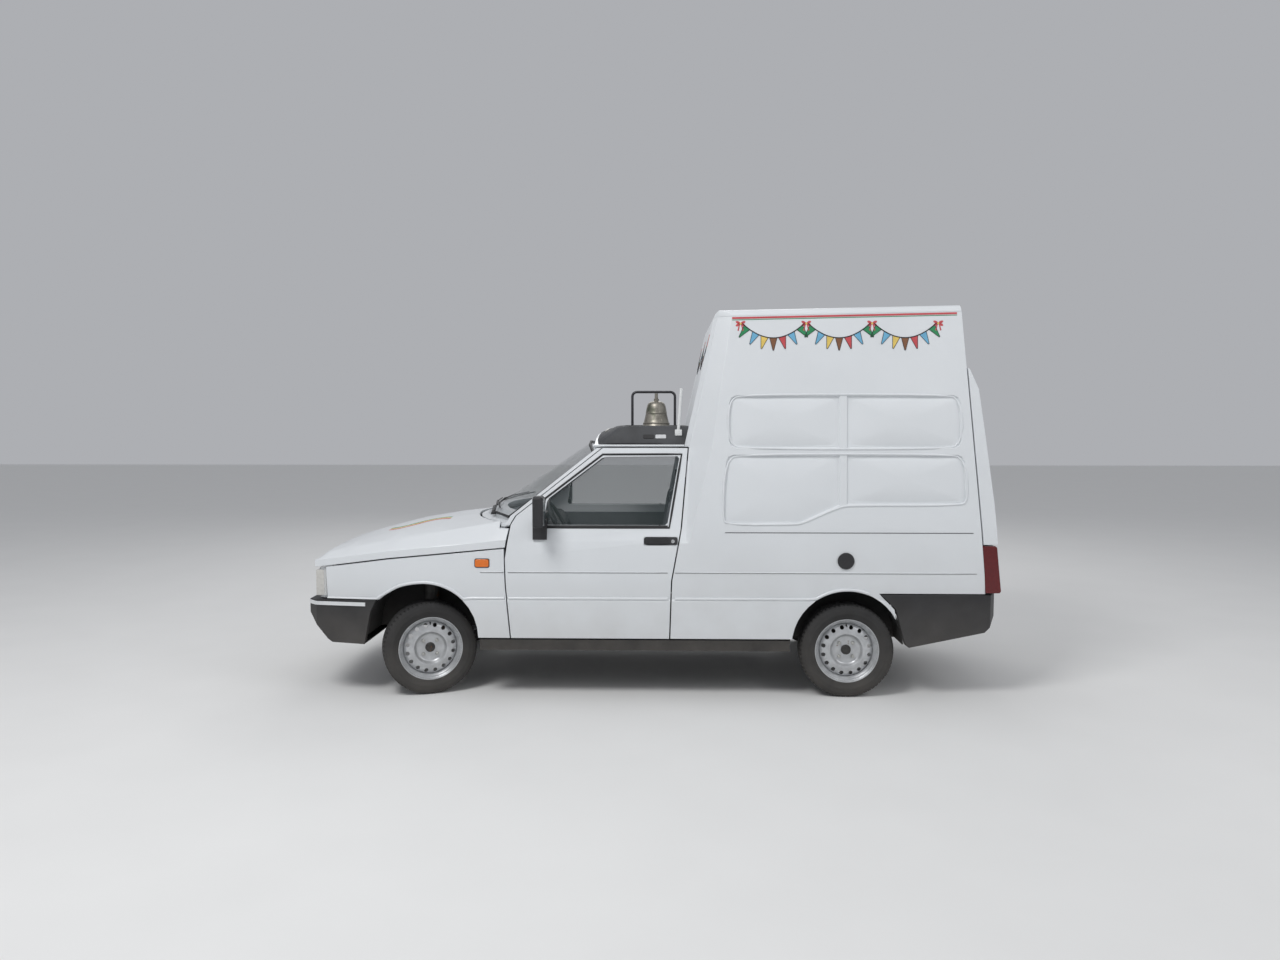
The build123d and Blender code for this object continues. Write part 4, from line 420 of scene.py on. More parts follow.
ORANGE = finish("orange_lens", (0.75, 0.17, 0.015), 0.15, coat=0.6, vary=0.08, grain=60.0, bump=0.0003,
                bump_scale=300.0)
PALE_LENS = finish("pale_lens", (0.56, 0.55, 0.52), 0.15, coat=0.6, vary=0.08, grain=60.0, bump=0.0003,
                   bump_scale=300.0)
# Flat grey for the thin line laid under each flank crease: painted shade in place of the crease's shadow.
PAINTED_CREASE_SHADE = finish("painted_crease_shade", (0.20, 0.20, 0.20), 0.9, vary=0.3, grain=60.0, bump=0.0002, bump_scale=300.0)
RED = finish("red_lens", (0.11, 0.004, 0.006), 0.22, coat=0.2, vary=0.1, grain=60.0, bump=0.0003,
             bump_scale=300.0)
REFLECTOR = finish("lamp_reflector", (0.7, 0.71, 0.72), 0.1, metal=1.0, vary=0.04, grain=30.0)
MIRROR = finish("mirror_glass", (0.6, 0.62, 0.63), 0.03, metal=1.0, vary=0.01, grain=10.0)


def enamel(name, colour):
    """Hand-laid sign paint."""
    return finish(name, colour, 0.35, vary=0.08, grain=25.0, bump=0.0001, bump_scale=200.0)


SIGN_GREEN = enamel("sign_green", (0.03, 0.25, 0.10))
SIGN_BLUE = enamel("sign_blue", (0.16, 0.42, 0.62))
SIGN_YELLOW = enamel("sign_yellow", (0.75, 0.55, 0.14))
SIGN_BROWN = enamel("sign_brown", (0.22, 0.10, 0.05))
SIGN_RED = enamel("sign_red", (0.55, 0.08, 0.09))
SIGN_INK = enamel("sign_ink", (0.02, 0.02, 0.025))

# Body panels that keep the CAD form
DRESSED = (  # node, finish, edge radius
    ("cab_shell", PAINT, 0.003),
    ("wings", PAINT, 0.004),
    ("cab_door_left", PAINT, 0.004),
    ("cab_door_right", PAINT, 0.004),
    ("bonnet", PAINT, 0.004),
    ("box_sides", GEL, 0.004),
    ("box_front", GEL, 0.005),
    ("box_roof", GEL, 0.004),
    ("rear_frame", GEL, 0.003),
    ("rear_door_left", GEL, 0.007),
    ("rear_door_right", GEL, 0.007),
    ("front_bumper", BLACK, 0.008),
    ("rear_bumper", BLACK, 0.008),
    ("grille", BLACK, 0.0015),
    ("mirror_left", BLACK, 0.010),
    ("mirror_right", BLACK, 0.010),
    ("floor_pan", UNDER, 0.003),
    ("wheelhouses", UNDER, 0.002),
    ("front_axle", CAST, 0.003),
    ("rear_axle", CAST, 0.003),
    ("knuckle_left", CAST, 0.002),
    ("knuckle_right", CAST, 0.002),
    ("engine", CAST, 0.006),
    ("fuel_tank", UNDER, 0.008),
    ("fuel_cap", BLACK, 0.002),
    ("dashboard", TRIM, 0.004),
    ("windscreen", GLASS, 0.0),
    ("door_glass_left", GLASS, 0.0),
    ("door_glass_right", GLASS, 0.0),
    ("headlamps", LENS, 0.004),
    ("tail_lamps", RED, 0.003),
)
for node, material, radius in DRESSED:
    dress(node, material, radius)


def mm(points):
    """Millimetre pairs made metres."""
    return [(a / 1000, b / 1000) for a, b in points]


def spun(pairs, place=Matrix.Identity(4), steps=48, closed=False):
    """A form of revolution from (radius, z) pairs in millimetres, then put in its place."""
    return lathe(mm(pairs), place, steps, closed)


def carved(target, cutter):
    """One bmesh with the volume of another taken out of it."""
    pieces = []
    for work in (target, cutter):
        bmesh.ops.recalc_face_normals(work, faces=work.faces)
        data = bpy.data.meshes.new("carving")
        work.to_mesh(data)
        work.free()
        piece = bpy.data.objects.new("carving", data)
        bpy.context.scene.collection.objects.link(piece)
        pieces.append(piece)
    cut = pieces[0].modifiers.new("cut", "BOOLEAN")
    cut.operation = "DIFFERENCE"
    cut.solver = "EXACT"
    cut.object = pieces[1]
    bpy.context.view_layer.update()
    shaped = bpy.data.meshes.new_from_object(pieces[0].evaluated_get(bpy.context.evaluated_depsgraph_get()))
    result = bmesh.new()
    result.from_mesh(shaped)
    bpy.data.meshes.remove(shaped)
    for piece in pieces:
        data = piece.data
        bpy.data.objects.remove(piece)
        bpy.data.meshes.remove(data)
    return result


def oval(length, width, steps=16):
    """Outline of an ellipse, its length along x."""
    angles = [2 * pi * step / steps for step in range(steps)]
    return [(length / 2 * cos(angle), width / 2 * sin(angle)) for angle in angles]


# Wheels: (radius, distance outboard) in millimetres
AXLES = {"front": -1.374, "rear": 1.203}
TYRE_RADIUS = 0.283
KINGPIN = 0.625
ARM = 0.067
STEER = radians(20)
BARREL = (
    (194, 70), (190, 70.5), (187, 67), (184, 62), (181, 60), (180, 50), (172, 44), (166, 30), (166, -30),
    (172, -44), (180, -50), (181, -60), (184, -62), (187, -67), (190, -70.5), (194, -70), (190, -67.5),
    (186, -59), (181, -56), (177, -48), (169, -41), (163, -28), (163, 28), (169, 41), (177, 48), (181, 56),
    (186, 59), (190, 67),
)
DISC = (
    (171, 2), (168, 7), (162, 24), (156, 34), (148, 41), (140, 45), (130, 47.5), (120, 50), (112, 53),
    (105, 54), (99, 52), (94, 46), (88, 36), (82, 31), (74, 29.5), (30, 29.5), (30, 25.5), (74, 25.5),
    (84, 27), (91, 33), (98, 43), (104, 49), (111, 49), (119, 46), (129, 43.5), (138, 41), (145, 37),
    (152, 31), (158, 21), (165, 4), (167, 0),
)
HUB = ((0, -30), (22.3, -30), (50, -30), (50, 25), (29.5, 25), (29.5, 33), (28, 35), (27, 45), (24, 49),
       (0, 50))
WALL = (  # half of the tyre's section from bead to tread
    (184, 58), (185, 64), (190, 69), (198, 71.5), (205, 75.5), (208, 75.5), (211, 77.5), (226, 81),
    (229, 82.3), (232, 82.3), (235, 81.8), (246, 82.3), (256, 80.5), (262, 78.5), (263.5, 77), (266, 77),
    (272, 73.5), (277, 68.5),
)
GROOVES = ((-39, 5), (-13, 6), (13, 6), (39, 5))  # middle and width of the tread's grooves
PITCHES = 64


def tyre_mesh(place):
    """A tyre with grooves round it and slots across its shoulders."""
    profile = list(WALL) + [(281, 62), (282.5, 52)]
    for middle, width in GROOVES[::-1]:
        profile += [(283, middle + width / 2), (276.5, middle + width / 2 - 0.8)]
        profile += [(276.5, middle - width / 2 + 0.8), (283, middle - width / 2)]
    profile += [(282.5, -52), (281, -62)] + [(r, -z) for r, z in WALL[::-1]]
    profile += [(192, -50), (255, -62), (268, -40), (268, 40), (255, 62), (192, 50)]
    work = bmesh.new()
    rings = []
    for pitch in range(PITCHES):
        for part, slot in ((0.0, 0), (0.72, 0), (0.76, 1), (0.96, 1)):
            ring = []
            for number, (r, z) in enumerate(profile):
                outside = 41 < abs(z) < 70 and r > 270
                inner = abs(z) < 10.5 and r > 280
                skew = 0.35 if z > 0 else -0.35
                angle = 2 * pi * (pitch + part + (skew if abs(z) < 44 else 0)) / PITCHES
                depth = 5.0 * slot if outside else (2.5 * slot if inner else 0)
                ring.append(work.verts.new(((r - depth) * cos(angle) / 1000, (r - depth) * sin(angle) / 1000,
                                            z / 1000)))
            rings.append(ring)
    count = len(profile)
    for index, low in enumerate(rings):
        high = rings[(index + 1) % len(rings)]
        for number in range(count):
            after = (number + 1) % count
            work.faces.new((low[number], high[number], high[after], low[after]))
    work.transform(place)
    return work


def ring_of(maker, count, radius, place, phase=0.0):
    """Copies of a small form in a ring; the maker gets its matrix."""
    work = bmesh.new()
    for number in range(count):
        angle = 2 * pi * (number + phase) / count
        spot = Matrix.Rotation(angle, 4, "Z") @ Matrix.Translation((radius, 0, 0))
        join_into(work, maker(place @ spot))
    return work


def wheel_nut(place):
    """A domed hexagon nut on its cone."""
    profile = mm(((13, 29), (12, 31.5), (10.5, 31.7), (10.5, 42.5), (8, 45), (0, 46)))
    return lathe([(0, 0.029)] + profile, place, steps=6)


HUB_DARK = finish("hub_steel", (0.06, 0.058, 0.055), 0.55, metal=0.6, vary=0.35, grain=60.0, bump=0.0003,
                  bump_scale=300.0, rust=((0.16, 0.08, 0.04), 40.0, 0.1))
VENTS = 16  # openings of the wheel's disc
VENT_RING = 0.141  # radius they stand on
for end, axle_x in AXLES.items():
    for side_name, side in SIDES:
        turn = STEER if end == "front" else 0.0
        outward = Matrix.Rotation(turn, 3, "Z") @ Vector((0, side, 0))
        seat = placed(Vector((axle_x, side * KINGPIN, TYRE_RADIUS)) + outward * ARM, (0, 0, 1), outward)
        node = f"{end}_{side_name}"
        body = BODY_OF["rim_" + node]
        disc = spun(DISC, steps=128, closed=True)
        holes = bmesh.new()
        for number in range(VENTS):
            turned = Matrix.Rotation(2 * pi * (number + 0.5) / VENTS, 4, "Z")
            spot = turned @ Matrix.Translation((VENT_RING, 0, 0.02))
            join_into(holes, slab(oval(0.026, 0.025), 0.05, spot))
        disc = carved(disc, holes)
        disc.transform(seat)
        face = link(f"wheel_disc_{node}", disc, STEEL, body, 30)
        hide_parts("rim_" + node)
        link(f"wheel_barrel_{node}", spun(BARREL, seat, 96, closed=True), STEEL, body,
             30)
        link(f"wheel_hub_{node}", spun(HUB, seat, 48), HUB_DARK, body, 30)
        link(f"wheel_nuts_{node}", ring_of(wheel_nut, 4, 0.0575, seat, 0.5), ZINC, body, 25)
        stem = seat @ Matrix.Translation((0.1545, 0.0, 0.030)) @ Matrix.Rotation(radians(-18), 4, "Y")
        valve = spun(((0, 0), (4.5, 0), (4.2, 14), (3.0, 17), (3.4, 17.5), (3.4, 27), (0, 28)), stem, 16)
        link(f"wheel_valve_{node}", valve, RUBBER, body, 30)
        tread = link(f"tyre_tread_{node}", tyre_mesh(seat), TYRE, body, 28)
        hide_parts("tyre_" + node)


# Places on the outer skin
def skin_of(*nodes):
    """A search tree over the faces of some CAD nodes."""
    work = bmesh.new()
    for node in nodes:
        work.from_mesh(NODES[node].data)
    tree = BVHTree.FromBMesh(work)
    work.free()
    return tree


SIDE_SKIN = skin_of("wings", "cab_door_left", "cab_door_right", "box_sides", "box_front", "bonnet",
                    "rear_frame")
REAR_SKIN = skin_of("rear_door_left", "rear_door_right", "rear_frame", "box_sides", "rear_bumper")
NOSE_SKIN = skin_of("front_bumper", "bonnet", "grille", "windscreen", "cab_shell", "box_front")


def touch(tree, start, along):
    """Point and outward direction where a ray meets the skin."""
    spot, normal, _, _ = tree.ray_cast(Vector(start), Vector(along))
    if spot is None:
        return Vector(start), -Vector(along)
    if normal.dot(Vector(along)) > 0:
        normal = -normal
    return spot, normal


def at_side(x, z, side):
    """Where the body's flank lies at a length and a height."""
    return touch(SIDE_SKIN, (x, side * 1.4, z), (0, -side, 0))


def laid(outline, spot, thick=0.0012, sink=0.0006):
    """A thin closed sheet laid on the skin; spot gives point and normal for each pair of the outline."""
    work = bmesh.new()
    low, high = [], []
    for pair in outline:
        point, normal = spot(*pair)
        low.append(work.verts.new(point - normal * sink))
        high.append(work.verts.new(point + normal * thick))
    work.faces.new(low)
    work.faces.new(high[::-1])
    for index in range(len(low)):
        after = (index + 1) % len(low)
        work.faces.new((low[after], low[index], high[index], high[after]))
    return work


def band(line, width, spot, thick=0.0012):
    """A thin strip along a line of pairs, laid on the skin."""
    half = width / 2
    edge_a, edge_b = [], []
    for index, (a, b) in enumerate(line):
        before = line[max(index - 1, 0)]
        after = line[min(index + 1, len(line) - 1)]
        da, db = after[0] - before[0], after[1] - before[1]
        length = hypot(da, db)
        edge_a.append((a - db / length * half, b + da / length * half))
        edge_b.append((a + db / length * half, b - da / length * half))
    work = bmesh.new()
    for index in range(len(line) - 1):
        quad = [edge_a[index], edge_a[index + 1], edge_b[index + 1], edge_b[index]]
        join_into(work, laid(quad, spot, thick))
    return work


def seat_on(spot, normal, x_dir=(1, 0, 0)):
    """A matrix on the skin, its z pointing out."""
    return placed(spot, x_dir, normal)


# Flanks: repeaters, door handles, locks and seals
for name, side in SIDES:
    spot, normal = at_side(-0.999, 0.818, side)
    seat = seat_on(spot, normal)
    gasket = slab(rounded(0.092, 0.056, 0.012), 0.004, seat @ Matrix.Translation((0, 0, -0.002)))
    link(f"repeater_gasket_{name}", gasket, RUBBER, "body", 30, 0.001)
    lens = slab(rounded(0.082, 0.046, 0.01), 0.0085, seat)
    link(f"repeater_lens_{name}", lens, ORANGE, "body", 30, 0.003, 3)
    door = f"cab_door_{name}"
    grip_x, grip_z = 0.077, 0.952
    y = side * 0.7848
    bezel = slab(rounded(0.2, 0.046, 0.012), 0.005, placed((grip_x, y, grip_z), (1, 0, 0), (0, side, 0)))
    link(f"handle_bezel_{name}", bezel, TRIM, door, 30, 0.0015)
    seat = placed((grip_x - 0.022, side * 0.789, grip_z), (1, 0, 0), (0, side, 0))
    paddle = slab(rounded(0.132, 0.034, 0.010), 0.0175, seat)
    link(f"handle_paddle_{name}", paddle, BLACK, door, 30, 0.003, 3)
    seat = placed((grip_x + 0.072, side * 0.788, grip_z), (1, 0, 0), (0, side, 0))
    lock = spun(((0, 0), (11, 0), (11, 13), (9, 15), (0, 15)), seat, 24)
    link(f"handle_lock_{name}", lock, CHROME, door, 30)
    slot = block((grip_x + 0.072, side * 0.8031, grip_z), (0.002, 0.001, 0.009))
    link(f"handle_keyway_{name}", slot, RUBBER, door)
    # Rubber along the foot and edge of the window
    window = ((-0.637, 1.042), (-0.612, 1.196), (-0.273, 1.453), (0.191, 1.457), (0.115, 1.042))
    spread = ((-0.012, -0.012), (-0.014, 0.006), (-0.006, 0.014), (0.012, 0.012), (0.012, -0.012))
    corners = [(x + dx, z + dz) for (x, z), (dx, dz) in zip(window, spread)]
    line = []
    for (xa, za), (xb, zb) in zip(corners, corners[1:] + corners[:1]):
        for share in (0.0, 0.2, 0.4, 0.6, 0.8):
            line.append(at_side(xa + (xb - xa) * share, za + (zb - za) * share, side)[0])
    link(f"window_seal_{name}", tube(line, 0.0065, 8, closed=True), RUBBER, door, 40)
    sweep = [at_side(x, 1.036, side)[0] for x in (-0.64, -0.3, 0.0, 0.118)]
    link(f"window_wipe_{name}", tube(sweep, 0.008, 8), RUBBER, door, 40)
    seat = placed((0.07, side * 0.755, 1.03), (1, 0, 0), (0, 0, 1))
    pin = spun(((0, 0), (4, 0), (4, 18), (3, 21), (0, 21.5)), seat, 16)
    link(f"lock_button_{name}", pin, BLACK, door, 30)
    # Rain gutter over the door
    gutter = [(x, side * 0.634, 1.521) for x in (-0.34, -0.2, 0.0, 0.22)]
    link(f"gutter_{name}", tube(gutter, 0.006, 8), PAINT, "body", 40)
    # Mirror glass
    seat = placed((-0.611, side * 0.905, 1.137), (0, 1, 0), (1, 0, 0))
    glass = slab(rounded(0.096, 0.156, 0.014), 0.002, seat)
    link(f"mirror_glass_{name}", glass, MIRROR, door, 30, 0.001)


def sheet_of(rows, thick=0.002, sink=0.001):
    """A closed sheet from rows of points with their outward directions."""
    work = bmesh.new()
    lows = [[work.verts.new(point - normal * sink) for point, normal in row] for row in rows]
    highs = [[work.verts.new(point + normal * thick) for point, normal in row] for row in rows]
    for grid in (lows, highs):
        for a, b in zip(grid, grid[1:]):
            for index in range(len(a) - 1):
                work.faces.new((a[index], a[index + 1], b[index + 1], b[index]))
    rim_low, rim_high = [
        grid[0] + [row[-1] for row in grid[1:]] + grid[-1][-2::-1] + [row[0] for row in grid[-2:0:-1]]
        for grid in (lows, highs)
    ]
    for index in range(len(rim_low)):
        after = (index + 1) % len(rim_low)
        work.faces.new((rim_low[index], rim_low[after], rim_high[after], rim_high[index]))
    return work


def soft_ring(points, pieces=10, rounds=2):
    """A closed outline with many points and its corners cut off again and again."""
    ring = []
    for (xa, za), (xb, zb) in zip(points, points[1:] + points[:1]):
        for step in (0, 1):
            share = 0.08 if step == 0 else 0.92
            ring.append(Vector((xa + (xb - xa) * share, za + (zb - za) * share)))
    for _ in range(rounds):
        ring = [p.lerp(q, t) for p, q in zip(ring, ring[1:] + ring[:1]) for t in (0.25, 0.75)]
    fine = []
    for p, q in zip(ring, ring[1:] + ring[:1]):
        count = max(1, int((q - p).length / (0.3 / pieces)))
        fine += [p.lerp(q, step / count) for step in range(count)]
    return fine


def pillow(outline, spot, height, levels=9):
    """A closed cushion-like swelling over an outline on the skin."""
    work = bmesh.new()
    middle = sum(outline, Vector((0, 0))) / len(outline)
    rings = []
    for level in range(-1, levels):
        share = 1 - max(level, 0) / levels
        lift = -0.002 if level < 0 else height * (1 - share ** 2.6)
        ring = []
        for point in outline:
            place = middle + (point - middle) * share
            here, normal = spot(place.x, place.y)
            ring.append(work.verts.new(here + normal * lift))
        rings.append(ring)
    for low, high in zip(rings, rings[1:]):
        for index in range(len(low)):
            after = (index + 1) % len(low)
            work.faces.new((low[index], low[after], high[after], high[index]))
    here, normal = spot(middle.x, middle.y)
    top = work.verts.new(here + normal * height)
    foot = work.verts.new(here - normal * 0.002)
    for index in range(len(outline)):
        after = (index + 1) % len(outline)
        work.faces.new((rings[-1][index], rings[-1][after], top))
        work.faces.new((rings[0][after], rings[0][index], foot))
    return work


# Relief of the flanks: swollen fields of the moulded wall, creases, strakes and arch lips
FIELDS = (
    ((0.497, 1.523), (1.127, 1.523), (1.127, 1.811), (0.499, 1.811)),
    ((1.196, 1.523), (1.848, 1.523), (1.838, 1.811), (1.196, 1.811)),
    ((0.462, 1.072), (0.902, 1.074), (1.127, 1.180), (1.127, 1.457), (0.482, 1.457)),
    ((1.196, 1.190), (1.882, 1.190), (1.861, 1.457), (1.196, 1.457)),
)
ROWS = (
    ((0.477, 1.505), (1.866, 1.505), (1.856, 1.829), (0.479, 1.829)),
    ((0.441, 1.053), (0.908, 1.056), (1.156, 1.170), (1.902, 1.171), (1.880, 1.475), (0.462, 1.475)),
)
FRONT_ARCH = (-1.359, 0.361)
REAR_ARCH = (1.196, 0.324)
for name, side in SIDES:
    def flank(x, z, side=side):
        return at_side(x, z, side)

    def proud(x, z, side=side):
        return at_side(x, z, side)[0] + Vector((0, side * 0.003, 0))

    for number, corners in enumerate(FIELDS):
        bulge = pillow(soft_ring(corners), flank, 0.019)
        link(f"wall_field_{name}_{number}", bulge, GEL, "body", 50)
    for number, corners in enumerate(ROWS):
        line = [flank(p.x, p.y)[0] for p in soft_ring(corners)]
        link(f"wall_bead_{name}_{number}", tube(line, 0.0062, 10, closed=True), GEL, "body", 60)
    seam = [flank(x, 1.006)[0] for x in (0.46, 0.8, 1.2, 1.6, 1.93)]
    link(f"wall_joint_{name}", tube(seam, 0.0022, 6), RUBBER, "body", 60)
    door = f"cab_door_{name}"
    for zone, body, finish_here, low, high in (("wing", "body", PAINT, -1.01, -0.868),
                                               ("door", door, PAINT, -0.842, 0.118),
                                               ("box", "body", PAINT, 0.160, 1.955)):
        steps = [low + (high - low) * step / 12 for step in range(13)]
        crease = [flank(x, 0.766)[0] + Vector((0, side * 0.0004, 0)) for x in steps]
        thin = [0.0008] + [0.0034] * 11 + [0.0008]
        link(f"crease_{zone}_{name}", tube(crease, thin, 8), finish_here, body, 60)
        # The thin grey line just under the crease is painted shade, where the crease's shadow falls.
        crease_shade_line = [p + Vector((0, side * 0.0006, -0.0042)) for p in crease]
        link(f"crease_dirt_{zone}_{name}", tube(crease_shade_line, 0.0013, 6), PAINTED_CREASE_SHADE, body, 60)
    arch_rear = arc(REAR_ARCH, 0.339, 68, 124, 14)
    strake = [(0.94 - 0.06 * step, 0.603) for step in range(13)] + [(0.162, 0.603)]
    line = [proud(x, z) for x, z in arch_rear + strake]
    link(f"strake_box_{name}", tube(soft_line(line, 1), 0.0095, 12), PAINT, "body", 60)
    line = [proud(0.118 - 0.08 * step, 0.603) for step in range(13)]
    link(f"strake_door_{name}", tube(line, 0.0095, 12), PAINT, door, 60)
    arch_front = [(-0.868, 0.603), (-0.98, 0.603), (-1.08, 0.603)]
    arch_front += arc(FRONT_ARCH, 0.338, 44, 92, 8)
    arch_front += [(-1.44, 0.692), (-1.515, 0.674), (-1.58, 0.637), (-1.642, 0.599)]
    line = [proud(x, z) for x, z in arch_front]
    link(f"strake_wing_{name}", tube(soft_line(line, 1), 0.0095, 12), PAINT, "body", 60)


# Lamps at the nose: a bowl, bulb and corner flasher behind each fluted glass
for name, side in SIDES:
    bowl = spun(((8, 0), (30, 3), (52, 12), (66, 27), (70, 44), (68, 44), (64, 28), (50, 14.5), (29, 6),
                 (8, 3)), placed((-1.985, side * 0.545, 0.682), (0, 0, 1), (-1, 0, 0)), 48, closed=True)
    bmesh.ops.scale(bowl, vec=(1, 1.55, 1), space=Matrix.Translation((0, -side * 0.545, 0)),
                    verts=bowl.verts)
    link(f"lamp_bowl_{name}", bowl, REFLECTOR, "body", 40)
    bulb = spun(((0, 0), (7, 0), (7, 8), (9, 16), (9, 24), (6, 31), (0, 33)),
                 placed((-1.986, side * 0.545, 0.682), (0, 0, 1), (-1, 0, 0)), 24)
    link(f"lamp_bulb_{name}", bulb, LENS, "body", 40)
    flutes = bmesh.new()
    for number in range(22):
        y = side * (0.425 + number * 0.0112)
        x = -2.0475 + (number * 0.0112 / 0.25) ** 2 * 0.012
        line = [(x, y, 0.612), (x + 0.0105, y, 0.69), (x + 0.021, y, 0.762)]
        join_into(flutes, tube(line, 0.0024, 6))
    link(f"lamp_flutes_{name}", flutes, LENS, "body", 50)
    flasher = block((-1.998, side * 0.7195, 0.686), (0.066, 0.052, 0.158), 0.006)
    link(f"corner_flasher_{name}", flasher, PALE_LENS, "body", 30)
    rim = [(-2.044, side * 0.692, 0.6), (-2.02, side * 0.692, 0.77)]
    link(f"lamp_divider_{name}", tube(rim, 0.003, 6), TRIM, "body", 40)

# Pale strip along the top of the front bumper, blank plates with their screws
BUMPER_SKIN = skin_of("front_bumper")
strip = []
for step in range(121):
    angle = radians(-86 + 172 * step / 120)
    far = Vector((-1.66 - 1.4 * cos(angle), 1.4 * sin(angle), 0.561))
    strip.append(touch(BUMPER_SKIN, far, (Vector((-1.66, 0, 0.561)) - far).normalized()))
rows = []
for drop in (-0.011, 0.0, 0.011):
    rows.append([(point + Vector((0, 0, drop)), normal) for point, normal in strip])
trim = sheet_of(rows, 0.0055, 0.006)
link("bumper_strip", trim, WHITE_TRIM, "body", 40)
front_plate = placed(touch(NOSE_SKIN, (-2.6, 0, 0.47), (1, 0, 0))[0] - Vector((0.001, 0, 0)), (0, -1, 0),
                     (-1, 0, 0))
link("plate_front", slab(rounded(0.52, 0.11, 0.008), 0.003, front_plate), PLATE, "body", 30, 0.0006)
frame_line = [front_plate @ Vector((x, y, 0.003)) for x, y in rounded(0.528, 0.118, 0.01)]
link("plate_front_frame", tube(frame_line, 0.003, 6, closed=True), BLACK, "body", 40)


def screw(place):
    """A pan-head screw with a slot ring."""
    return spun(((0, -1), (5, -1), (5, 1.2), (3.6, 2.4), (1.6, 2.8), (1.2, 2.0), (0, 2.0)), place, 14)


for x in (-0.18, 0.18):
    link(f"plate_screw_{'a' if x < 0 else 'b'}", screw(front_plate @ Matrix.Translation((x, 0, 0.0035))),
         ZINC, "body")

# Wipers and the screen's rubber
def on_screen(y, z):
    """A point on the windscreen and its outward direction."""
    return touch(NOSE_SKIN, (-2.4, y, z), (1, 0, 0))


seal = []
for y, z in ((-0.655, 1.082), (-0.33, 1.086), (0.0, 1.088), (0.33, 1.086), (0.655, 1.082), (0.624, 1.25),
             (0.585, 1.43), (0.565, 1.474), (0.3, 1.516), (0.0, 1.531), (-0.3, 1.516), (-0.565, 1.474),
             (-0.585, 1.43), (-0.624, 1.25)):
    spot, normal = on_screen(y, z)
    seal.append(spot + normal * 0.001)
link("screen_seal", tube(seal, 0.009, 8, closed=True), RUBBER, "body", 40)
for name, y0, y1 in (("left", -0.40, -0.02), ("right", 0.16, 0.53)):
    blade = []
    for step in range(9):
        share = step / 8
        spot, normal = on_screen(y0 + (y1 - y0) * share, 1.112 + 0.03 * share)
        blade.append(spot + normal * 0.010)
    link(f"wiper_blade_{name}", tube(blade, 0.0045, 6), RUBBER, "body", 40)
    frame_bar = [p + Vector((-0.010, 0, 0.008)) for p in blade[1:-1]]
    link(f"wiper_frame_{name}", tube(frame_bar, 0.004, 6), BLACK, "body", 40)
    base = blade[0] + Vector((-0.035, -0.05, -0.036))
    arm = soft_line([base + Vector((0, 0, 0.006)), base + Vector((0.01, 0.03, 0.03)),
                     blade[4] + Vector((-0.016, 0, 0.016)), blade[4] + Vector((-0.008, 0, 0.006))])
    link(f"wiper_arm_{name}", tube(arm, 0.005, 8), BLACK, "body", 40)
    boss = spun(((0, -4), (16, -4), (15, 7), (9, 13), (0, 14)), Matrix.Translation(base), 24)
    link(f"wiper_boss_{name}", boss, BLACK, "body", 30)


# Painted bunting on the box, in place of other pictures, and the lines under its roof
def swag(ends, height, sag, flags, cord_spot, body, name, size=(0.05, 0.082)):
    """A drooping cord with a row of pennants laid on a wall between two lengths."""
    start, end = ends

    def cord(share):
        return start + (end - start) * share, height - sag * 4 * share * (1 - share)

    line = [cord(step / 24) for step in range(25)]
    link(f"{name}_cord", band(line, 0.006, cord_spot, 0.0016), SIGN_INK, body, 60)
    width, drop = size
    sheets = {}
    for number in range(flags):
        share = (number + 0.5) / flags
        a, b = cord(share)
        low, high = cord(share - 0.01), cord(share + 0.01)
        lean = atan2(high[1] - low[1], high[0] - low[0])
        corners = [(-width / 2, 0.0), (width / 2, 0.0), (width * 0.06, -drop), (-width * 0.06, -drop)]
        around = [(a + x * cos(lean) - y * sin(lean), b + x * sin(lean) + y * cos(lean)) for x, y in corners]
        colour = SWAG_COLOURS[number % len(SWAG_COLOURS)]
        sheet = sheets.setdefault(colour.name, (colour, bmesh.new()))[1]
        join_into(sheet, laid(around, cord_spot))
        edge = around + around[:1]
        inked = sheets.setdefault("ink", (SIGN_INK, bmesh.new()))[1]
        for p, q in zip(edge, edge[1:]):
            join_into(inked, band([p, q], 0.003, cord_spot, 0.0016))
    for key, (colour, sheet) in sheets.items():
        link(f"{name}_{key}", sheet, colour, body, 60)


def rosette(a, b, spot, body, name, scale=1.0):
    """A ribbon bow with two tails where two swags meet."""
    petals = bmesh.new()
    for turn in (25, 155, 205, 335):
        angle = radians(turn)
        outline = []
        for x, y in oval(0.05, 0.024, 14):
            outline.append((a + scale * (0.026 * cos(angle) + x * cos(angle) - y * sin(angle)),
                            b + scale * (0.026 * sin(angle) + x * sin(angle) + y * cos(angle))))
        join_into(petals, laid(outline, spot, 0.0014))
    for side in (-1, 1):
        tail = [(a + side * x * scale, b - z * scale) for x, z in RIBBON_TAIL]
        join_into(petals, laid(tail, spot, 0.0014))
    link(f"{name}_bow", petals, SIGN_RED, body, 60)
    knot = laid([(a + x, b + y) for x, y in oval(0.02 * scale, 0.02 * scale, 14)], spot, 0.002)
    link(f"{name}_knot", knot, SIGN_YELLOW, body, 60)


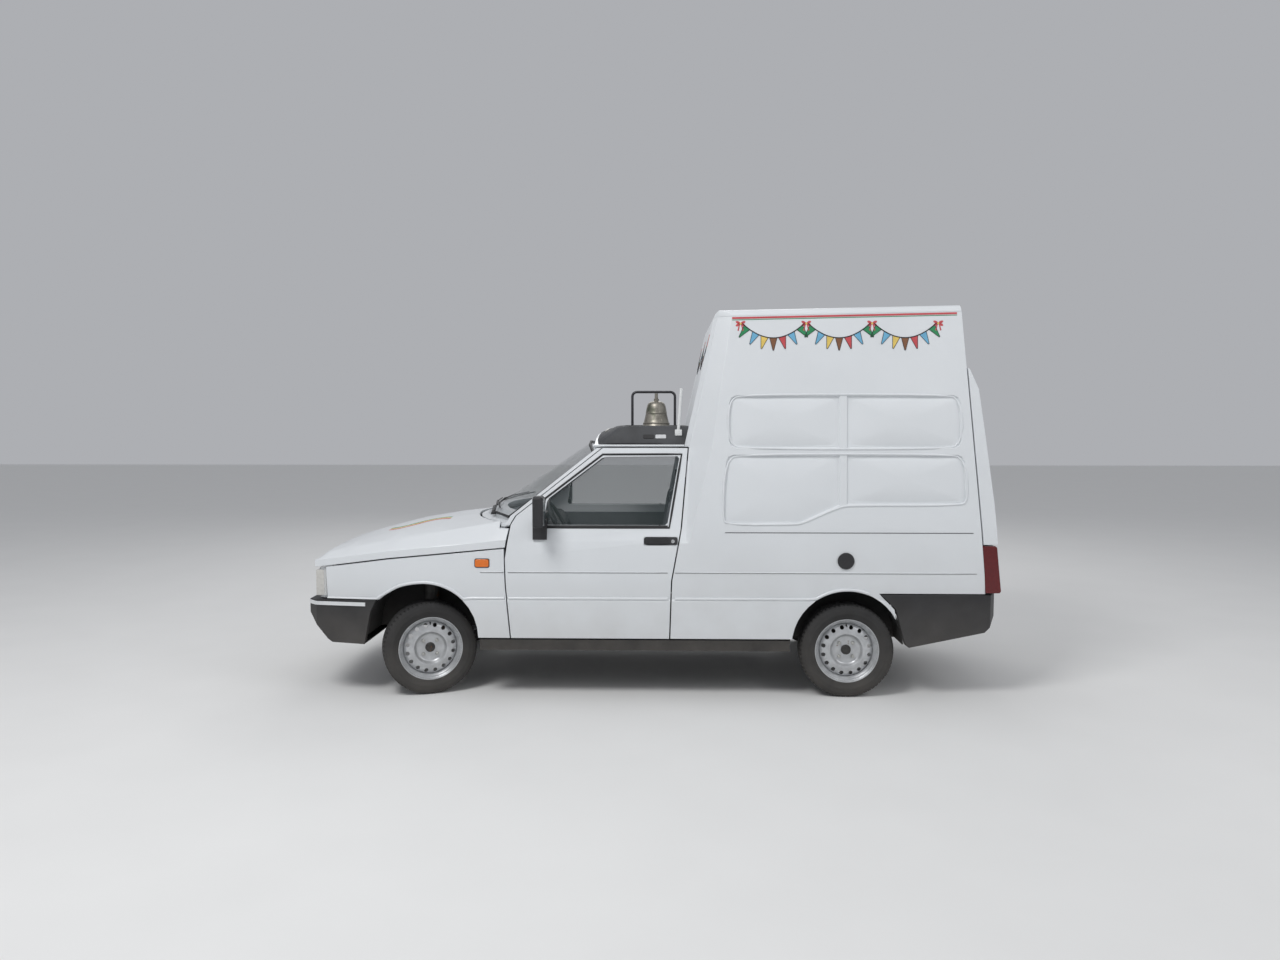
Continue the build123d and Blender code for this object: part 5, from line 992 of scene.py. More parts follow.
RIBBON_TAIL = ((0.004, 0), (0.018, 0.07), (0.03, 0.064), (0.012, 0))  # across, down
SWAG_COLOURS = (SIGN_GREEN, SIGN_BLUE, SIGN_YELLOW, SIGN_BROWN, SIGN_RED, SIGN_BLUE)
PAINT_SPOTS = ((0.55, 2.25), (0.94, 2.25), (1.33, 2.25), (1.72, 2.25))  # length, height
for name, side in SIDES:
    def flank(x, z, side=side):
        return at_side(x, z, side)

    for number, (a, b) in enumerate(zip(PAINT_SPOTS, PAINT_SPOTS[1:])):
        swag((a[0] + 0.012, b[0] - 0.012), a[1], 0.085, 7, flank, "body", f"bunting_{name}_{number}",
             (0.044, 0.074))
    for number, (x, z) in enumerate(PAINT_SPOTS):
        rosette(x, z, flank, "body", f"bunting_{name}_{number}", 0.62)
    # Painted lines along the top of the side
    for number, (drop, width, colour) in enumerate(((0.010, 0.011, SIGN_RED), (0.021, 0.004, SIGN_GREEN))):
        lengths = (0.50, 0.53, 0.56, 0.60, 0.65, 0.8, 1.15, 1.5, 1.83)
        line = [(x, 2.2925 + 0.0275 * (x - 0.46) / 1.4 - drop) for x in lengths]
        link(f"top_line_{name}_{number}", band(line, width, flank, 0.0012), colour, "body", 60)


FRONT_SKIN = skin_of("box_front", "box_sides", "box_roof")


def on_front(y, z):
    """A point on the front of the box and its outward direction."""
    return touch(FRONT_SKIN, (-0.4, y, z), (1, 0, 0))


for number, (a, b) in enumerate(((-0.55, -0.02), (0.02, 0.55))):
    swag((a, b), 2.18, 0.10, 8, on_front, "body", f"bunting_front_{number}", (0.05, 0.084))
for number, y in enumerate((-0.57, 0.0, 0.57)):
    rosette(y, 2.18, on_front, "body", f"bunting_front_{number}", 0.8)


# Plain ribbon painted across the bonnet's rear corner
def on_bonnet(x, y):
    """A point on top of the bonnet and its outward direction."""
    return touch(NOSE_SKIN, (x, y, 1.6), (0, 0, -1))


for number, (offset, colour) in enumerate(((0.0, SIGN_RED), (0.03, SIGN_YELLOW), (0.06, SIGN_GREEN))):
    wave = []
    for step in range(15):
        share = step / 14
        wave.append((-1.70 + 0.4 * share, -0.30 + offset - 0.05 * sin(2 * pi * share)))
    link(f"bonnet_ribbon_{number}", band(wave, 0.014, on_bonnet, 0.001), colour, "bonnet", 60)


# Rear: hinges, handle, lamp fields, plate, seals
def at_rear(y, z):
    """A point on the rear face and its outward direction."""
    return touch(REAR_SKIN, (2.6, y, z), (-1, 0, 0))


def on_lamp(y, z):
    """A point on the tail lamps and its outward direction."""
    return touch(LAMP_SKIN, (2.6, y, z), (-1, 0, 0))


LAMP_SKIN = skin_of("tail_lamps")
for name, side in SIDES:
    door = f"rear_door_{name}"
    for number, z in enumerate((1.73, 1.114)):
        spot, normal = at_rear(side * 0.70, z)
        strap = slab(rounded(0.11, 0.05, 0.01), 0.005, placed(spot, (0, side, 0), normal))
        link(f"hinge_strap_{name}_{number}", strap, WHITE_TRIM, door, 30, 0.0015)
        for step in (-0.035, 0.0, 0.035):
            place = placed(spot + normal * 0.005, (0, side, 0), normal) @ Matrix.Translation((step, 0, 0))
            link(f"hinge_bolt_{name}_{number}_{step}", screw(place), ZINC, door)
    groove = [at_rear(side * 0.012, z)[0] for z in (0.66, 1.0, 1.4, 1.96)]
    link(f"door_edge_seal_{name}", tube(groove, 0.005, 8), RUBBER, door, 40)
    # Tail lamp: amber and clear fields and ribs on the red glass
    fields = ((0.86, 0.92, ORANGE), (0.79, 0.85, RED), (0.65, 0.78, RED))
    for number, (low, high, colour) in enumerate(fields):
        outline = [(side * 0.715, low), (side * 0.79, low), (side * 0.79, high), (side * 0.715, high)]
        sheet = laid(outline, on_lamp, 0.004, 0.002)
        link(f"tail_field_{name}_{number}", sheet, colour, "body", 30, 0.0012)
    ribs = bmesh.new()
    for number in range(13):
        z = 0.665 + number * 0.02
        line = [on_lamp(side * y, z)[0] + Vector((0.004, 0, 0)) for y in (0.717, 0.788)]
        join_into(ribs, tube(line, 0.0016, 6))
    link(f"tail_ribs_{name}", ribs, RED, "body", 40)


# Rear handle, lock, plate with its light, and the closing piece under the roof's rear edge
spot, normal = at_rear(-0.075, 1.03)
seat = placed(spot, (0, 1, 0), normal)
link("rear_handle_plate", slab(rounded(0.05, 0.15, 0.012), 0.006, seat), BLACK, "rear_door_left", 30,
     0.002)
grip = soft_line([seat @ Vector(p) for p in ((0, 0.052, 0.004), (0, 0.05, 0.034), (0, -0.05, 0.034),
                                             (0, -0.055, 0.004))], 2)
link("rear_handle", tube(grip, 0.009, 12), BLACK, "rear_door_left", 40)
lock = spun(((0, 0), (12, 0), (12, 8), (10, 10), (0, 10.5)), seat @ Matrix.Translation((0, -0.062, 0.005)),
            24)
link("rear_lock", lock, CHROME, "rear_door_left", 30)
spot, normal = at_rear(0.38, 0.79)
seat = placed(spot, (0, 1, 0), normal)
link("plate_rear", slab(rounded(0.34, 0.19, 0.010), 0.003, seat), PLATE, "rear_door_right", 30, 0.0006)
edge = [seat @ Vector((x, y, 0.003)) for x, y in rounded(0.348, 0.198, 0.012)]
link("plate_rear_frame", tube(edge, 0.003, 6, closed=True), BLACK, "rear_door_right", 40)
for number, (x, y) in enumerate(((-0.12, 0.07), (0.12, 0.07))):
    link(f"plate_rear_screw_{number}", screw(seat @ Matrix.Translation((x, y, 0.0035))), ZINC,
         "rear_door_right")
hood = slab(rounded(0.13, 0.036, 0.01), 0.024, seat @ Matrix.Translation((0, 0.128, 0)))
link("plate_light", hood, BLACK, "rear_door_right", 30, 0.004)

# Bell with its mouldings, hanger, clapper, frame and post
BELL_AT = Matrix.Translation((0.044, 0, 1.622))
BELL_SECTION = (
    (106.5, 1), (104, 0.4), (99, 4), (96, 12), (91, 24), (89, 30), (90.5, 33), (90, 36), (86, 39), (81, 56),
    (76, 76), (72.5, 92), (71, 99), (72.3, 102), (71, 106), (68.5, 120), (66, 134), (63.5, 146), (60, 158),
    (54, 168), (46, 175), (34, 180), (20, 183), (17, 186), (17.5, 198), (12, 203), (11, 215), (11, 235),
    (0, 235),
)
BELL_INSIDE = ((0, 170), (20, 169), (38, 162), (50, 148), (56, 128), (61, 104), (68, 74), (78, 40), (88, 14),
               (99, 1), (104, 0.4))
shell = spun(BELL_INSIDE[:-1] + BELL_SECTION, BELL_AT, 72)
bell = link("bell_body", shell, BRONZE, BODY_OF["bell"], 40)
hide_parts("bell")
lugs = block((0.044, 0.012, 1.776), (0.014, 0.006, 0.036), 0.002)
join_into(lugs, block((0.044, -0.012, 1.776), (0.014, 0.006, 0.036), 0.002))
pivot = placed((0.044, -0.013, 1.772), (1, 0, 0), (0, 1, 0))
join_into(lugs, spun(((0, 0), (3, 0), (3, 26), (0, 26)), pivot, 16))
link("bell_lugs", lugs, CAST, BODY_OF["bell"], 40)
stem = (
    (0, 4), (9, 5), (13, 10), (14, 16), (13, 22), (9, 27), (5.5, 31), (4.2, 60), (4, 136), (0, 137),
)
clapper = spun(stem, BELL_AT, 32)
eye = placed((0.044, -0.0062, 1.772), (1, 0, 0), (0, 1, 0))
join_into(clapper, spun(((3.2, 0), (7.4, 0), (7.4, 12.4), (3.2, 12.4)), eye, 24, closed=True))
piece = link("clapper_body", clapper, CAST, "clapper", 40)
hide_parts("clapper")
corners = arc((-0.087, 1.836), 0.031, 180, 90, 6) + arc((0.139, 1.836), 0.031, 90, 0, 6)
hoop = [(-0.118, 0, 1.606)] + [(x, 0, z) for x, z in corners] + [(0.170, 0, 1.606)]
hoop_tube = tube(hoop, 0.0088, 16)
for x in (-0.118, 0.170):
    join_into(hoop_tube, block((x, 0, 1.6085), (0.026, 0.026, 0.006), 0.0015))
piece = link("bell_hoop", hoop_tube, FRAME_TUBE, "body", 40)
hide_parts("bell_frame")
post_line = [(0.182, -0.578, 1.585), (0.202, -0.556, 1.872)]
mast = tube(post_line, 0.0098, 20)
join_into(mast, block((0.184, -0.578, 1.60), (0.044, 0.056, 0.038), 0.006))
piece = link("mast", mast, POST_WHITE, "body", 40)
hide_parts("signal_post")

# Exhaust: pipe, round silencer with rolled ends and tail pipe with an open mouth
pipe = tube(soft_line([(-1.282, 0.12, 0.582), (-1.282, 0.12, 0.27), (-1.232, 0.12, 0.27),
                       (0.683, 0.12, 0.27), (0.873, 0.255, 0.4), (1.29, 0.255, 0.4)], 3), 0.0212, 20)
along = placed((1.283, 0.255, 0.4), (0, 0, 1), (1, 0, 0))
drum = ((0, 0), (68, 1), (71, 5), (73.5, 2), (73.8, 8), (72.5, 12), (72.5, 388), (73.8, 392), (73.5, 398),
        (71, 395), (68, 399), (0, 400))
join_into(pipe, spun(drum, along, 40))
tail = soft_line([(1.66, 0.255, 0.352), (1.693, 0.255, 0.352), (1.753, 0.255, 0.318), (2.072, 0.255, 0.318)],
                 2)
join_into(pipe, tube(tail, 0.0212, 20))
mouth = placed((2.0735, 0.255, 0.318), (0, 0, 1), (1, 0, 0))
join_into(pipe, spun(((18.5, -60), (18.5, 0), (21.2, 0), (21.4, -3), (21.4, -60)), mouth, 24, closed=True))
piece = link("exhaust_run", pipe, PIPE, "body", 35)
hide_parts("exhaust")

# Steering wheel with a padded boss, three spokes, its column and two stalks
TILT = radians(28)
wheel_seat = placed((-0.567, -0.35, 0.985), (0, 1, 0), (cos(TILT), 0, sin(TILT)))
section = [(0.182 + 0.0118 * cos(a), 0.0118 * sin(a)) for a in (2 * pi * s / 12 for s in range(12))]
wheel = lathe(section, wheel_seat, 72, closed=True)
for turn in (200, 340, 90):
    angle = radians(turn)
    out = Vector((cos(angle), sin(angle), 0))
    spoke = soft_line([wheel_seat @ (out * 0.03 + Vector((0, 0, -0.012))),
                       wheel_seat @ (out * 0.1 + Vector((0, 0, -0.011))), wheel_seat @ (out * 0.182)], 1)
    join_into(wheel, tube(spoke, [0.016] + [0.0125] * (len(spoke) - 2) + [0.009], 12))
boss = ((0, -16), (46, -16), (50, -10), (50, -5), (46, 1), (36, 6), (18, 9), (0, 10))
join_into(wheel, spun(boss, wheel_seat, 40))
join_into(wheel, spun(((0, -110), (21, -110), (24, -60), (22, -16), (0, -16)), wheel_seat, 24))
piece = link("steering_wheel_body", wheel, TRIM, "body", 40)
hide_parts("steering_wheel")
for number, side in enumerate((-1, 1)):
    bends = ((0.02, -0.055), (0.08, -0.05), (0.13, -0.04))
    stalk = [wheel_seat @ Vector((side * x, 0.01, z)) for x, z in bends]
    link(f"stalk_{number}", tube(stalk, [0.006, 0.005, 0.0075], 10), TRIM, "body", 40)

# Dashboard: binnacle, dials, vents, radio slot, tray, lever and pedals
hood = slab(rounded(0.36, 0.10, 0.03), 0.11, placed((-0.66, -0.35, 1.03), (0, 1, 0), (-1, 0, 0.12)))
link("binnacle", hood, TRIM, "body", 40, 0.008, 3)
for number, y in enumerate((-0.42, -0.28)):
    dial = placed((-0.6575, y, 1.033), (0, 1, 0), (1, 0, -0.12))
    link(f"dial_{number}", spun(((0, 0), (36, 0), (38, 2.5), (40, 2.5), (40, -2), (0, -2)), dial, 40),
         CHROME if number else TRIM, "body", 40)
    needle = block((0, 0, 0), (0.028, 0.002, 0.001))
    turned = Matrix.Rotation(radians(130 + 40 * number), 4, "Z")
    needle.transform(dial @ turned @ Matrix.Translation((0.012, 0, 0.002)))
    link(f"needle_{number}", needle, SIGN_RED, "body")
for number, y in enumerate((-0.60, -0.05, 0.09, 0.60)):
    vent = slab(rounded(0.11, 0.055, 0.008), 0.008, placed((-0.6205, y, 0.905), (0, 1, 0), (1, 0, 0)))
    join_into(vent, block((-0.614, y, 0.905), (0.004, 0.10, 0.003)))
    for step in (-0.016, 0.016):
        join_into(vent, block((-0.611, y, 0.905 + step), (0.006, 0.10, 0.004)))
    link(f"vent_{number}", vent, RUBBER, "body", 30, 0.001)
lid = slab(rounded(0.40, 0.13, 0.012), 0.006, placed((-0.6205, 0.40, 0.868), (0, 1, 0), (1, 0, 0)))
link("glove_lid", lid, CARD, "body", 30, 0.003)
blank = slab(rounded(0.18, 0.052, 0.004), 0.006, placed((-0.6205, 0.02, 0.84), (0, 1, 0), (1, 0, 0)))
link("radio_blank", blank, RUBBER, "body", 30, 0.002)
lever = soft_line([(-0.50, 0.0, 0.36), (-0.49, 0.0, 0.48), (-0.455, 0.0, 0.62)], 2)
link("gear_lever", tube(lever, 0.006, 12), CHROME, "body", 40)
gaiter = spun(((0, 0), (70, 0), (62, 18), (58, 22), (50, 40), (46, 44), (34, 66), (30, 70), (16, 96),
               (0, 98)), Matrix.Translation((-0.498, 0, 0.352)), 24)
link("gear_gaiter", gaiter, RUBBER, "body", 40)
knob = spun(((0, -22), (12, -20), (19, -8), (21, 4), (17, 15), (8, 21), (0, 22)),
            Matrix.Translation((-0.452, 0, 0.635)), 24)
link("gear_knob", knob, BLACK, "body", 40)
brake = soft_line([(-0.30, 0.0, 0.37), (-0.24, 0.0, 0.43), (-0.10, 0.0, 0.475)], 2)
link("hand_brake", tube(brake, [0.02] + [0.012] * (len(brake) - 2) + [0.014], 12), BLACK, "body", 40)
for number, y in enumerate((-0.47, -0.36, -0.25)):
    arm = soft_line([(-0.82, y, 0.68), (-0.80, y, 0.56), (-0.76, y, 0.46)], 2)
    link(f"pedal_arm_{number}", tube(arm, 0.006, 8), CAST, "body", 40)
    shoe = block((-0.755, y, 0.455), (0.012, 0.06, 0.052), 0.004, Matrix.Rotation(radians(-30), 3, "Y"))
    for step in (-0.016, 0.0, 0.016):
        rib = block((-0.748, y, 0.455 + step), (0.005, 0.05, 0.004))
        join_into(shoe, rib)
    link(f"pedal_{number}", shoe, RUBBER, "body", 30)

# Cabin: mats, inner mirror, visors, belts, door cards with arm rests and winders
def on_floor(x, y):
    """A point on the cabin's floor and its upward direction."""
    return Vector((x, y, 0.3505)), Vector((0, 0, 1))


for name, low, high in (("left", -0.64, -0.12), ("right", 0.12, 0.64)):
    mat = laid([(-0.80, low), (-0.10, low), (-0.10, high), (-0.80, high)], on_floor, 0.006)
    link(f"floor_mat_{name}", mat, CARPET, "body", 30, 0.002)
glass = slab(rounded(0.20, 0.055, 0.02), 0.018, placed((-0.345, 0, 1.455), (0, 1, 0), (1, 0, -0.15)))
link("inner_mirror", glass, BLACK, "body", 30, 0.004)
glass = slab(rounded(0.188, 0.045, 0.016), 0.001, placed((-0.3268, 0, 1.4523), (0, 1, 0), (1, 0, -0.15)))
link("inner_mirror_glass", glass, MIRROR, "body", 30)
link("inner_mirror_stem", tube([(-0.33, 0, 1.47), (-0.325, 0, 1.515)], 0.006, 10), BLACK, "body", 40)
for name, side in SIDES:
    seat = placed((-0.20, side * 0.33, 1.505), (0, 1, 0), (0.2, 0, 1))
    visor = slab(rounded(0.36, 0.12, 0.02), 0.014, seat)
    link(f"visor_{name}", visor, LINING, "body", 30, 0.005)
    door = f"cab_door_{name}"
    card = slab([(-0.74, 0.42), (0.12, 0.42), (0.155, 0.80), (0.155, 0.985), (-0.70, 0.985), (-0.74, 0.80)],
                0.010, placed((0, side * 0.7405, 0), (1, 0, 0), (0, -1, 0)))
    if side < 0:
        card.transform(Matrix.Translation((0, 0.0105, 0)))
    link(f"door_card_{name}", card, CARD, door, 30, 0.003)
    rest = soft_line([(-0.42, side * 0.728, 0.74), (-0.38, side * 0.695, 0.745),
                      (-0.16, side * 0.695, 0.745), (-0.12, side * 0.728, 0.74)], 2)
    link(f"arm_rest_{name}", tube(rest, 0.014, 12), TRIM, door, 40)
    winder = placed((-0.54, side * 0.727, 0.70), (1, 0, 0), (0, -side, 0))
    crank = spun(((0, 0), (20, 0), (18, 10), (0, 12)), winder, 24)
    join_into(crank, tube([winder @ Vector((0, 0, 0.010)), winder @ Vector((0.07, 0.02, 0.022))], 0.006, 10))
    join_into(crank, spun(((0, 0), (9, 0), (11, 12), (8, 24), (0, 26)),
                          winder @ Matrix.Translation((0.07, 0.02, 0.018)), 20))
    link(f"window_winder_{name}", crank, BLACK, door, 40)
    belt = band([(1.33, 0.0), (1.1, 0.004), (0.8, 0.006), (0.56, 0.0)], 0.046,
                lambda z, t, side=side: (Vector((0.205 + t, side * 0.655, z)), Vector((-1, 0, 0))), 0.0015)
    link(f"belt_{name}", belt, RUBBER, "body", 60)


# Roof pod: fairing from the screen's top edge to the box, with its deck, side slots and two pale patches on
# its front slope that paint a highlight
CAB_TOP = skin_of("cab_shell")
POD_FOOT = ((-0.330, 0.0), (-0.329, 0.30), (-0.326, 0.45), (-0.316, 0.55), (-0.298, 0.60), (-0.276, 0.620),
            (0.244, 0.620))
POD_RIM = ((-0.194, 0.0), (-0.1935, 0.30), (-0.192, 0.42), (-0.184, 0.50), (-0.165, 0.535), (-0.128, 0.560),
           (0.244, 0.560))
POD_TOP = 1.6415
halves = []
for (foot_a, foot_b), (rim_a, rim_b) in zip(zip(POD_FOOT, POD_FOOT[1:]), zip(POD_RIM, POD_RIM[1:])):
    for step in range(10):
        share = step / 10
        halves.append((Vector(foot_a).lerp(Vector(foot_b), share), Vector(rim_a).lerp(Vector(rim_b), share)))
halves.append((Vector(POD_FOOT[-1]), Vector(POD_RIM[-1])))
ring = halves + [(Vector((a.x, -a.y)), Vector((b.x, -b.y))) for a, b in halves[:0:-1]]
pod = bmesh.new()
levels = []
for share, rise in ((0.0, 0.0), (0.12, 0.30), (0.5, 0.66), (0.86, 0.94), (0.95, 0.99), (1.06, 1.0)):
    level = []
    for foot, rim in ring:
        low = touch(CAB_TOP, (foot.x, foot.y, 1.9), (0, 0, -1))[0].z - 0.004
        flat = foot.lerp(rim, share)
        flat.x = min(flat.x, 0.244)
        level.append(pod.verts.new((flat.x, flat.y, low + (POD_TOP - low) * rise)))
    levels.append(level)
count = len(ring)
for low, high in zip(levels, levels[1:]):
    for index in range(count):
        after = (index + 1) % count
        pod.faces.new((low[index], low[after], high[after], high[index]))
middle = pod.verts.new((-0.02, 0, 1.575))
for index in range(count):
    pod.faces.new((levels[0][(index + 1) % count], levels[0][index], middle))
pod.faces.new(levels[-1])
well = slab(rounded(0.38, 0.86, 0.05, 8), 0.06, placed((0.02, 0, 1.604), (1, 0, 0), (0, 0, 1)))
pod = carved(pod, well)
bmesh.ops.triangulate(pod, faces=[face for face in pod.faces if len(face.verts) > 4])
POD_SKIN = BVHTree.FromBMesh(pod)
piece = link("pod_fairing", pod, POD, "body", 30, 0.004, 3)
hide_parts("roof_pod")
for number, x in enumerate((-0.05, 0.02, 0.09, 0.16)):
    link(f"pod_rib_{number}", tube([(x, -0.40, 1.6045), (x, 0.40, 1.6045)], 0.005, 8), POD, "body", 60)
for name, side in SIDES:
    lengths = (-0.27, -0.2, -0.1, 0.05, 0.24)
    lip = [touch(POD_SKIN, (x, side * 0.8, 1.535), (0, -side, 0))[0] for x in lengths]
    link(f"pod_lip_{name}", tube(lip, 0.004, 8), POD, "body", 60)
    for number, x in enumerate((0.0, 0.075)):
        spot, normal = touch(POD_SKIN, (x, side * 0.8, 1.575), (0, -side, 0))
        slot = slab(rounded(0.066, 0.026, 0.006), 0.0035, placed(spot, (1, 0, 0), normal))
        link(f"pod_slot_{name}_{number}", slot, STEEL if number else RUBBER, "body", 30, 0.001)
    # Two pale lens-like patches on the front slope are painted highlight: they stand in for the glint the
    # glossy slope catches.
    spot, normal = touch(POD_SKIN, (-0.265, side * 0.36, 1.9), (0, 0, -1))
    lamp = placed(spot, (0, 1, 0), normal)
    link(f"pod_marker_{name}", slab(rounded(0.11, 0.03, 0.012), 0.010, lamp), PALE_LENS, "body", 30,
         0.004, 3)
ROOF_SKIN = skin_of("box_roof")
outline = [(-0.724, 2.312), (0.724, 2.312)]
for step in range(25):
    y = 0.724 - 1.448 * step / 24
    top = touch(ROOF_SKIN, (1.846, y, 2.6), (0, 0, -1))[0].z - 0.004
    outline.append((y, max(top, 2.3135)))
panel = slab(outline, 0.008, placed((1.838, 0, 0), (0, 1, 0), (1, 0, 0)))
link("roof_rear_panel", panel, GEL, "body", 30, 0.0015)

# The ridge at the front of the box roof, closed where the hollow under it comes through
ridge = []
for x in (0.4226, 0.4350, 0.4362, 0.4526):
    spot, normal = touch(ROOF_SKIN, (x, 0.4, 3.0), (0, 0, -1))
    ridge.append([(Vector((x, y, spot.z)), normal) for y in (-0.28, -0.14, 0, 0.14, 0.28)])
link("roof_front_ridge", sheet_of(ridge, 0.0004, 0.004), GEL, "body", 40)

# Fuel cap with grips and a lock
cap = placed((1.18, -0.8185, 0.838), (1, 0, 0), (0, -1, 0))
grips = spun(((0, -3), (38, -3), (42, -1), (43, 0), (40, 1), (30, 1.2), (0, 1.2)), cap, 40)
for number in range(5):
    arm = cap @ Matrix.Rotation(2 * pi * number / 5, 4, "Z") @ Matrix.Translation((0.020, 0, -0.001))
    join_into(grips, slab(rounded(0.034, 0.010, 0.004), 0.0035, arm))
join_into(grips, spun(((0, 0), (9, 0), (9, 3.4), (7, 4), (0, 4)), cap, 24))
link("fuel_cap_grips", grips, BLACK, "body", 30)


# Seats: cushion and back filled like cloth bags over their frames
def object_of(mesh, name):
    """A bare object from a bmesh."""
    data = bpy.data.meshes.new(name)
    bmesh.ops.recalc_face_normals(mesh, faces=mesh.faces)
    mesh.to_mesh(data)
    mesh.free()
    piece = bpy.data.objects.new(name, data)
    bpy.context.scene.collection.objects.link(piece)
    return piece


def baked(piece):
    """The mesh that an object's modifiers give, in the object's place."""
    bpy.context.view_layer.update()
    return bpy.data.meshes.new_from_object(piece.evaluated_get(bpy.context.evaluated_depsgraph_get()))


def filled(name, mesh, pressure, cap, voxel=0.006):
    """A closed form remeshed, blown up as cloth and held to a limit of movement."""
    piece = object_of(mesh, name)
    grid = piece.modifiers.new("even", "REMESH")
    grid.mode = "VOXEL"
    grid.voxel_size = voxel
    even = baked(piece)
    piece.modifiers.remove(grid)
    piece.data = even
    start = [vert.co.copy() for vert in even.vertices]
    cloth = piece.modifiers.new("fill", "CLOTH")
    cloth.settings.use_pressure = True
    cloth.settings.uniform_pressure_force = pressure
    cloth.settings.effector_weights.gravity = 0
    cloth.settings.quality = 4
    for frame_number in range(1, 21):
        bpy.context.scene.frame_set(frame_number)
    shaped = baked(piece)
    piece.modifiers.remove(cloth)
    for vert, before, after in zip(even.vertices, start, shaped.vertices):
        move = after.co - before
        if move.length > cap:
            move *= cap / move.length
        vert.co = before + move
    bpy.data.meshes.remove(shaped)
    bpy.context.scene.frame_set(1)
    return piece


def sewn(piece, seams, deep=0.005, wide=0.007):
    """Sewn channels pressed in; seams gives the distances of a point from each of them."""
    normals = [vert.normal.copy() for vert in piece.data.vertices]
    for vert, normal in zip(piece.data.vertices, normals):
        press = 0.0
        for distance in seams(vert.co):
            press = max(press, 2.718 ** (-(distance / wide) ** 2))
        vert.co -= normal * deep * press
    return piece


def soft_finish(piece, material, body="body"):
    """Smooth cloth with its finish, riding on a body."""
    fine = piece.modifiers.new("fine", "SUBSURF")
    fine.levels = 1
    fine.render_levels = 1
    data = baked(piece)
    piece.modifiers.remove(fine)
    piece.data = data
    data.materials.clear()
    data.materials.append(material)
    shade(data, 180)
    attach(piece, body)
    return piece


def swept(section, places):
    """A closed form from one outline set in several places, ends closed."""
    work = bmesh.new()
    rings = [[work.verts.new(place @ Vector((x, y, 0))) for x, y in section] for place in places]
    for low, high in zip(rings, rings[1:]):
        for index in range(len(section)):
            after = (index + 1) % len(section)
            work.faces.new((low[index], low[after], high[after], high[index]))
    work.faces.new(rings[0][::-1])
    work.faces.new(rings[-1])
    return work


CUSHION = (
    (-0.222, -0.062), (0.222, -0.062), (0.226, 0.0), (0.216, 0.050), (0.188, 0.058), (0.160, 0.038),
    (0.08, 0.032), (-0.08, 0.032), (-0.160, 0.038), (-0.188, 0.058), (-0.216, 0.050), (-0.226, 0.0),
)
BACKREST = (
    (-0.215, -0.045), (0.215, -0.045), (0.222, 0.0), (0.214, 0.050), (0.186, 0.056), (0.150, 0.030),
    (0.07, 0.026), (-0.07, 0.026), (-0.150, 0.030), (-0.186, 0.056), (-0.214, 0.050), (-0.222, 0.0),
)
for name, side in SIDES:
    y = side * 0.35

    def cushion_seams(point, middle=y):
        across = abs(point.y - middle)
        on_top = across < 0.158 and point.z > 0.63
        steps = (-0.25, -0.16, -0.07)
        return [abs(across - 0.158)] + [abs(point.x - step) if on_top else 1 for step in steps]

    def back_seams(point, middle=y):
        across = abs(point.y - middle)
        steps = (0.78, 0.88, 0.98, 1.08)
        return [abs(across - 0.146)] + [abs(point.z - step) if across < 0.146 else 1 for step in steps]

    base = block((-0.087, y, 0.4585), (0.33, 0.31, 0.213), 0.012)
    for step in (-0.13, 0.13):
        join_into(base, block((-0.087, y + step, 0.358), (0.40, 0.03, 0.014), 0.003))
    link(f"seat_box_{name}", base, BLACK, "body", 30)
    places = []
    for x, drop, grow in ((-0.336, 0.020, 0.94), (-0.31, 0.0, 1.0), (-0.15, 0.0, 1.0), (0.0, 0.004, 1.0),
                          (0.06, 0.010, 0.97)):
        spot = (x, y, 0.647 - 0.077 * (x + 0.3) - drop)
        places.append(placed(spot, (0, 1, 0), (-1, 0, 0)) @ Matrix.Diagonal((-grow, grow, 1, 1)))
    cushion = filled(f"seat_cushion_{name}", swept(CUSHION, places), 4.0, 0.010)
    sewn(cushion, cushion_seams)
    soft_finish(cushion, CLOTH)
    if side < 0:
        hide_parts("seats")
    places = []
    for share, grow, thick in ((0.0, 0.95, 0.95), (0.06, 1.0, 1.0), (0.5, 1.0, 0.95), (0.85, 0.93, 0.85),
                               (0.97, 0.84, 0.72), (1.0, 0.78, 0.5)):
        spot = Vector((0.116, y, 0.60)).lerp(Vector((0.1745, y, 1.195)), share)
        places.append(placed(spot, (0, 1, 0), (0.098, 0, 0.995)) @ Matrix.Diagonal((grow, thick, 1, 1)))
    back = filled(f"seat_back_{name}", swept(BACKREST, places), 4.0, 0.009)
    sewn(back, back_seams)
    soft_finish(back, CLOTH)
    hinge = placed((0.085, y - 0.232, 0.60), (1, 0, 0), (0, 1, 0))
    link(f"seat_hinge_{name}", spun(((0, 0), (22, 0), (24, 4), (24, 460), (22, 464), (0, 464)), hinge, 24),
         BLACK, "body", 30)


# Engine bay: rocker cover, air filter, radiator and fan, battery, washer bottle, brake servo, hoses and leads
ALLOY = finish("cast_alloy", (0.40, 0.40, 0.39), 0.45, metal=0.7, vary=0.18, grain=30.0, bump=0.0003,
               bump_scale=300.0)
BOTTLE = finish("milky_plastic", (0.62, 0.63, 0.58), 0.4, vary=0.1, grain=14.0, bump=0.0001,
                bump_scale=300.0)


def part(name, mesh, material, bevel=0.0, body="body"):
    """A small fixed piece."""
    return link(name, mesh, material, body, 32, bevel)


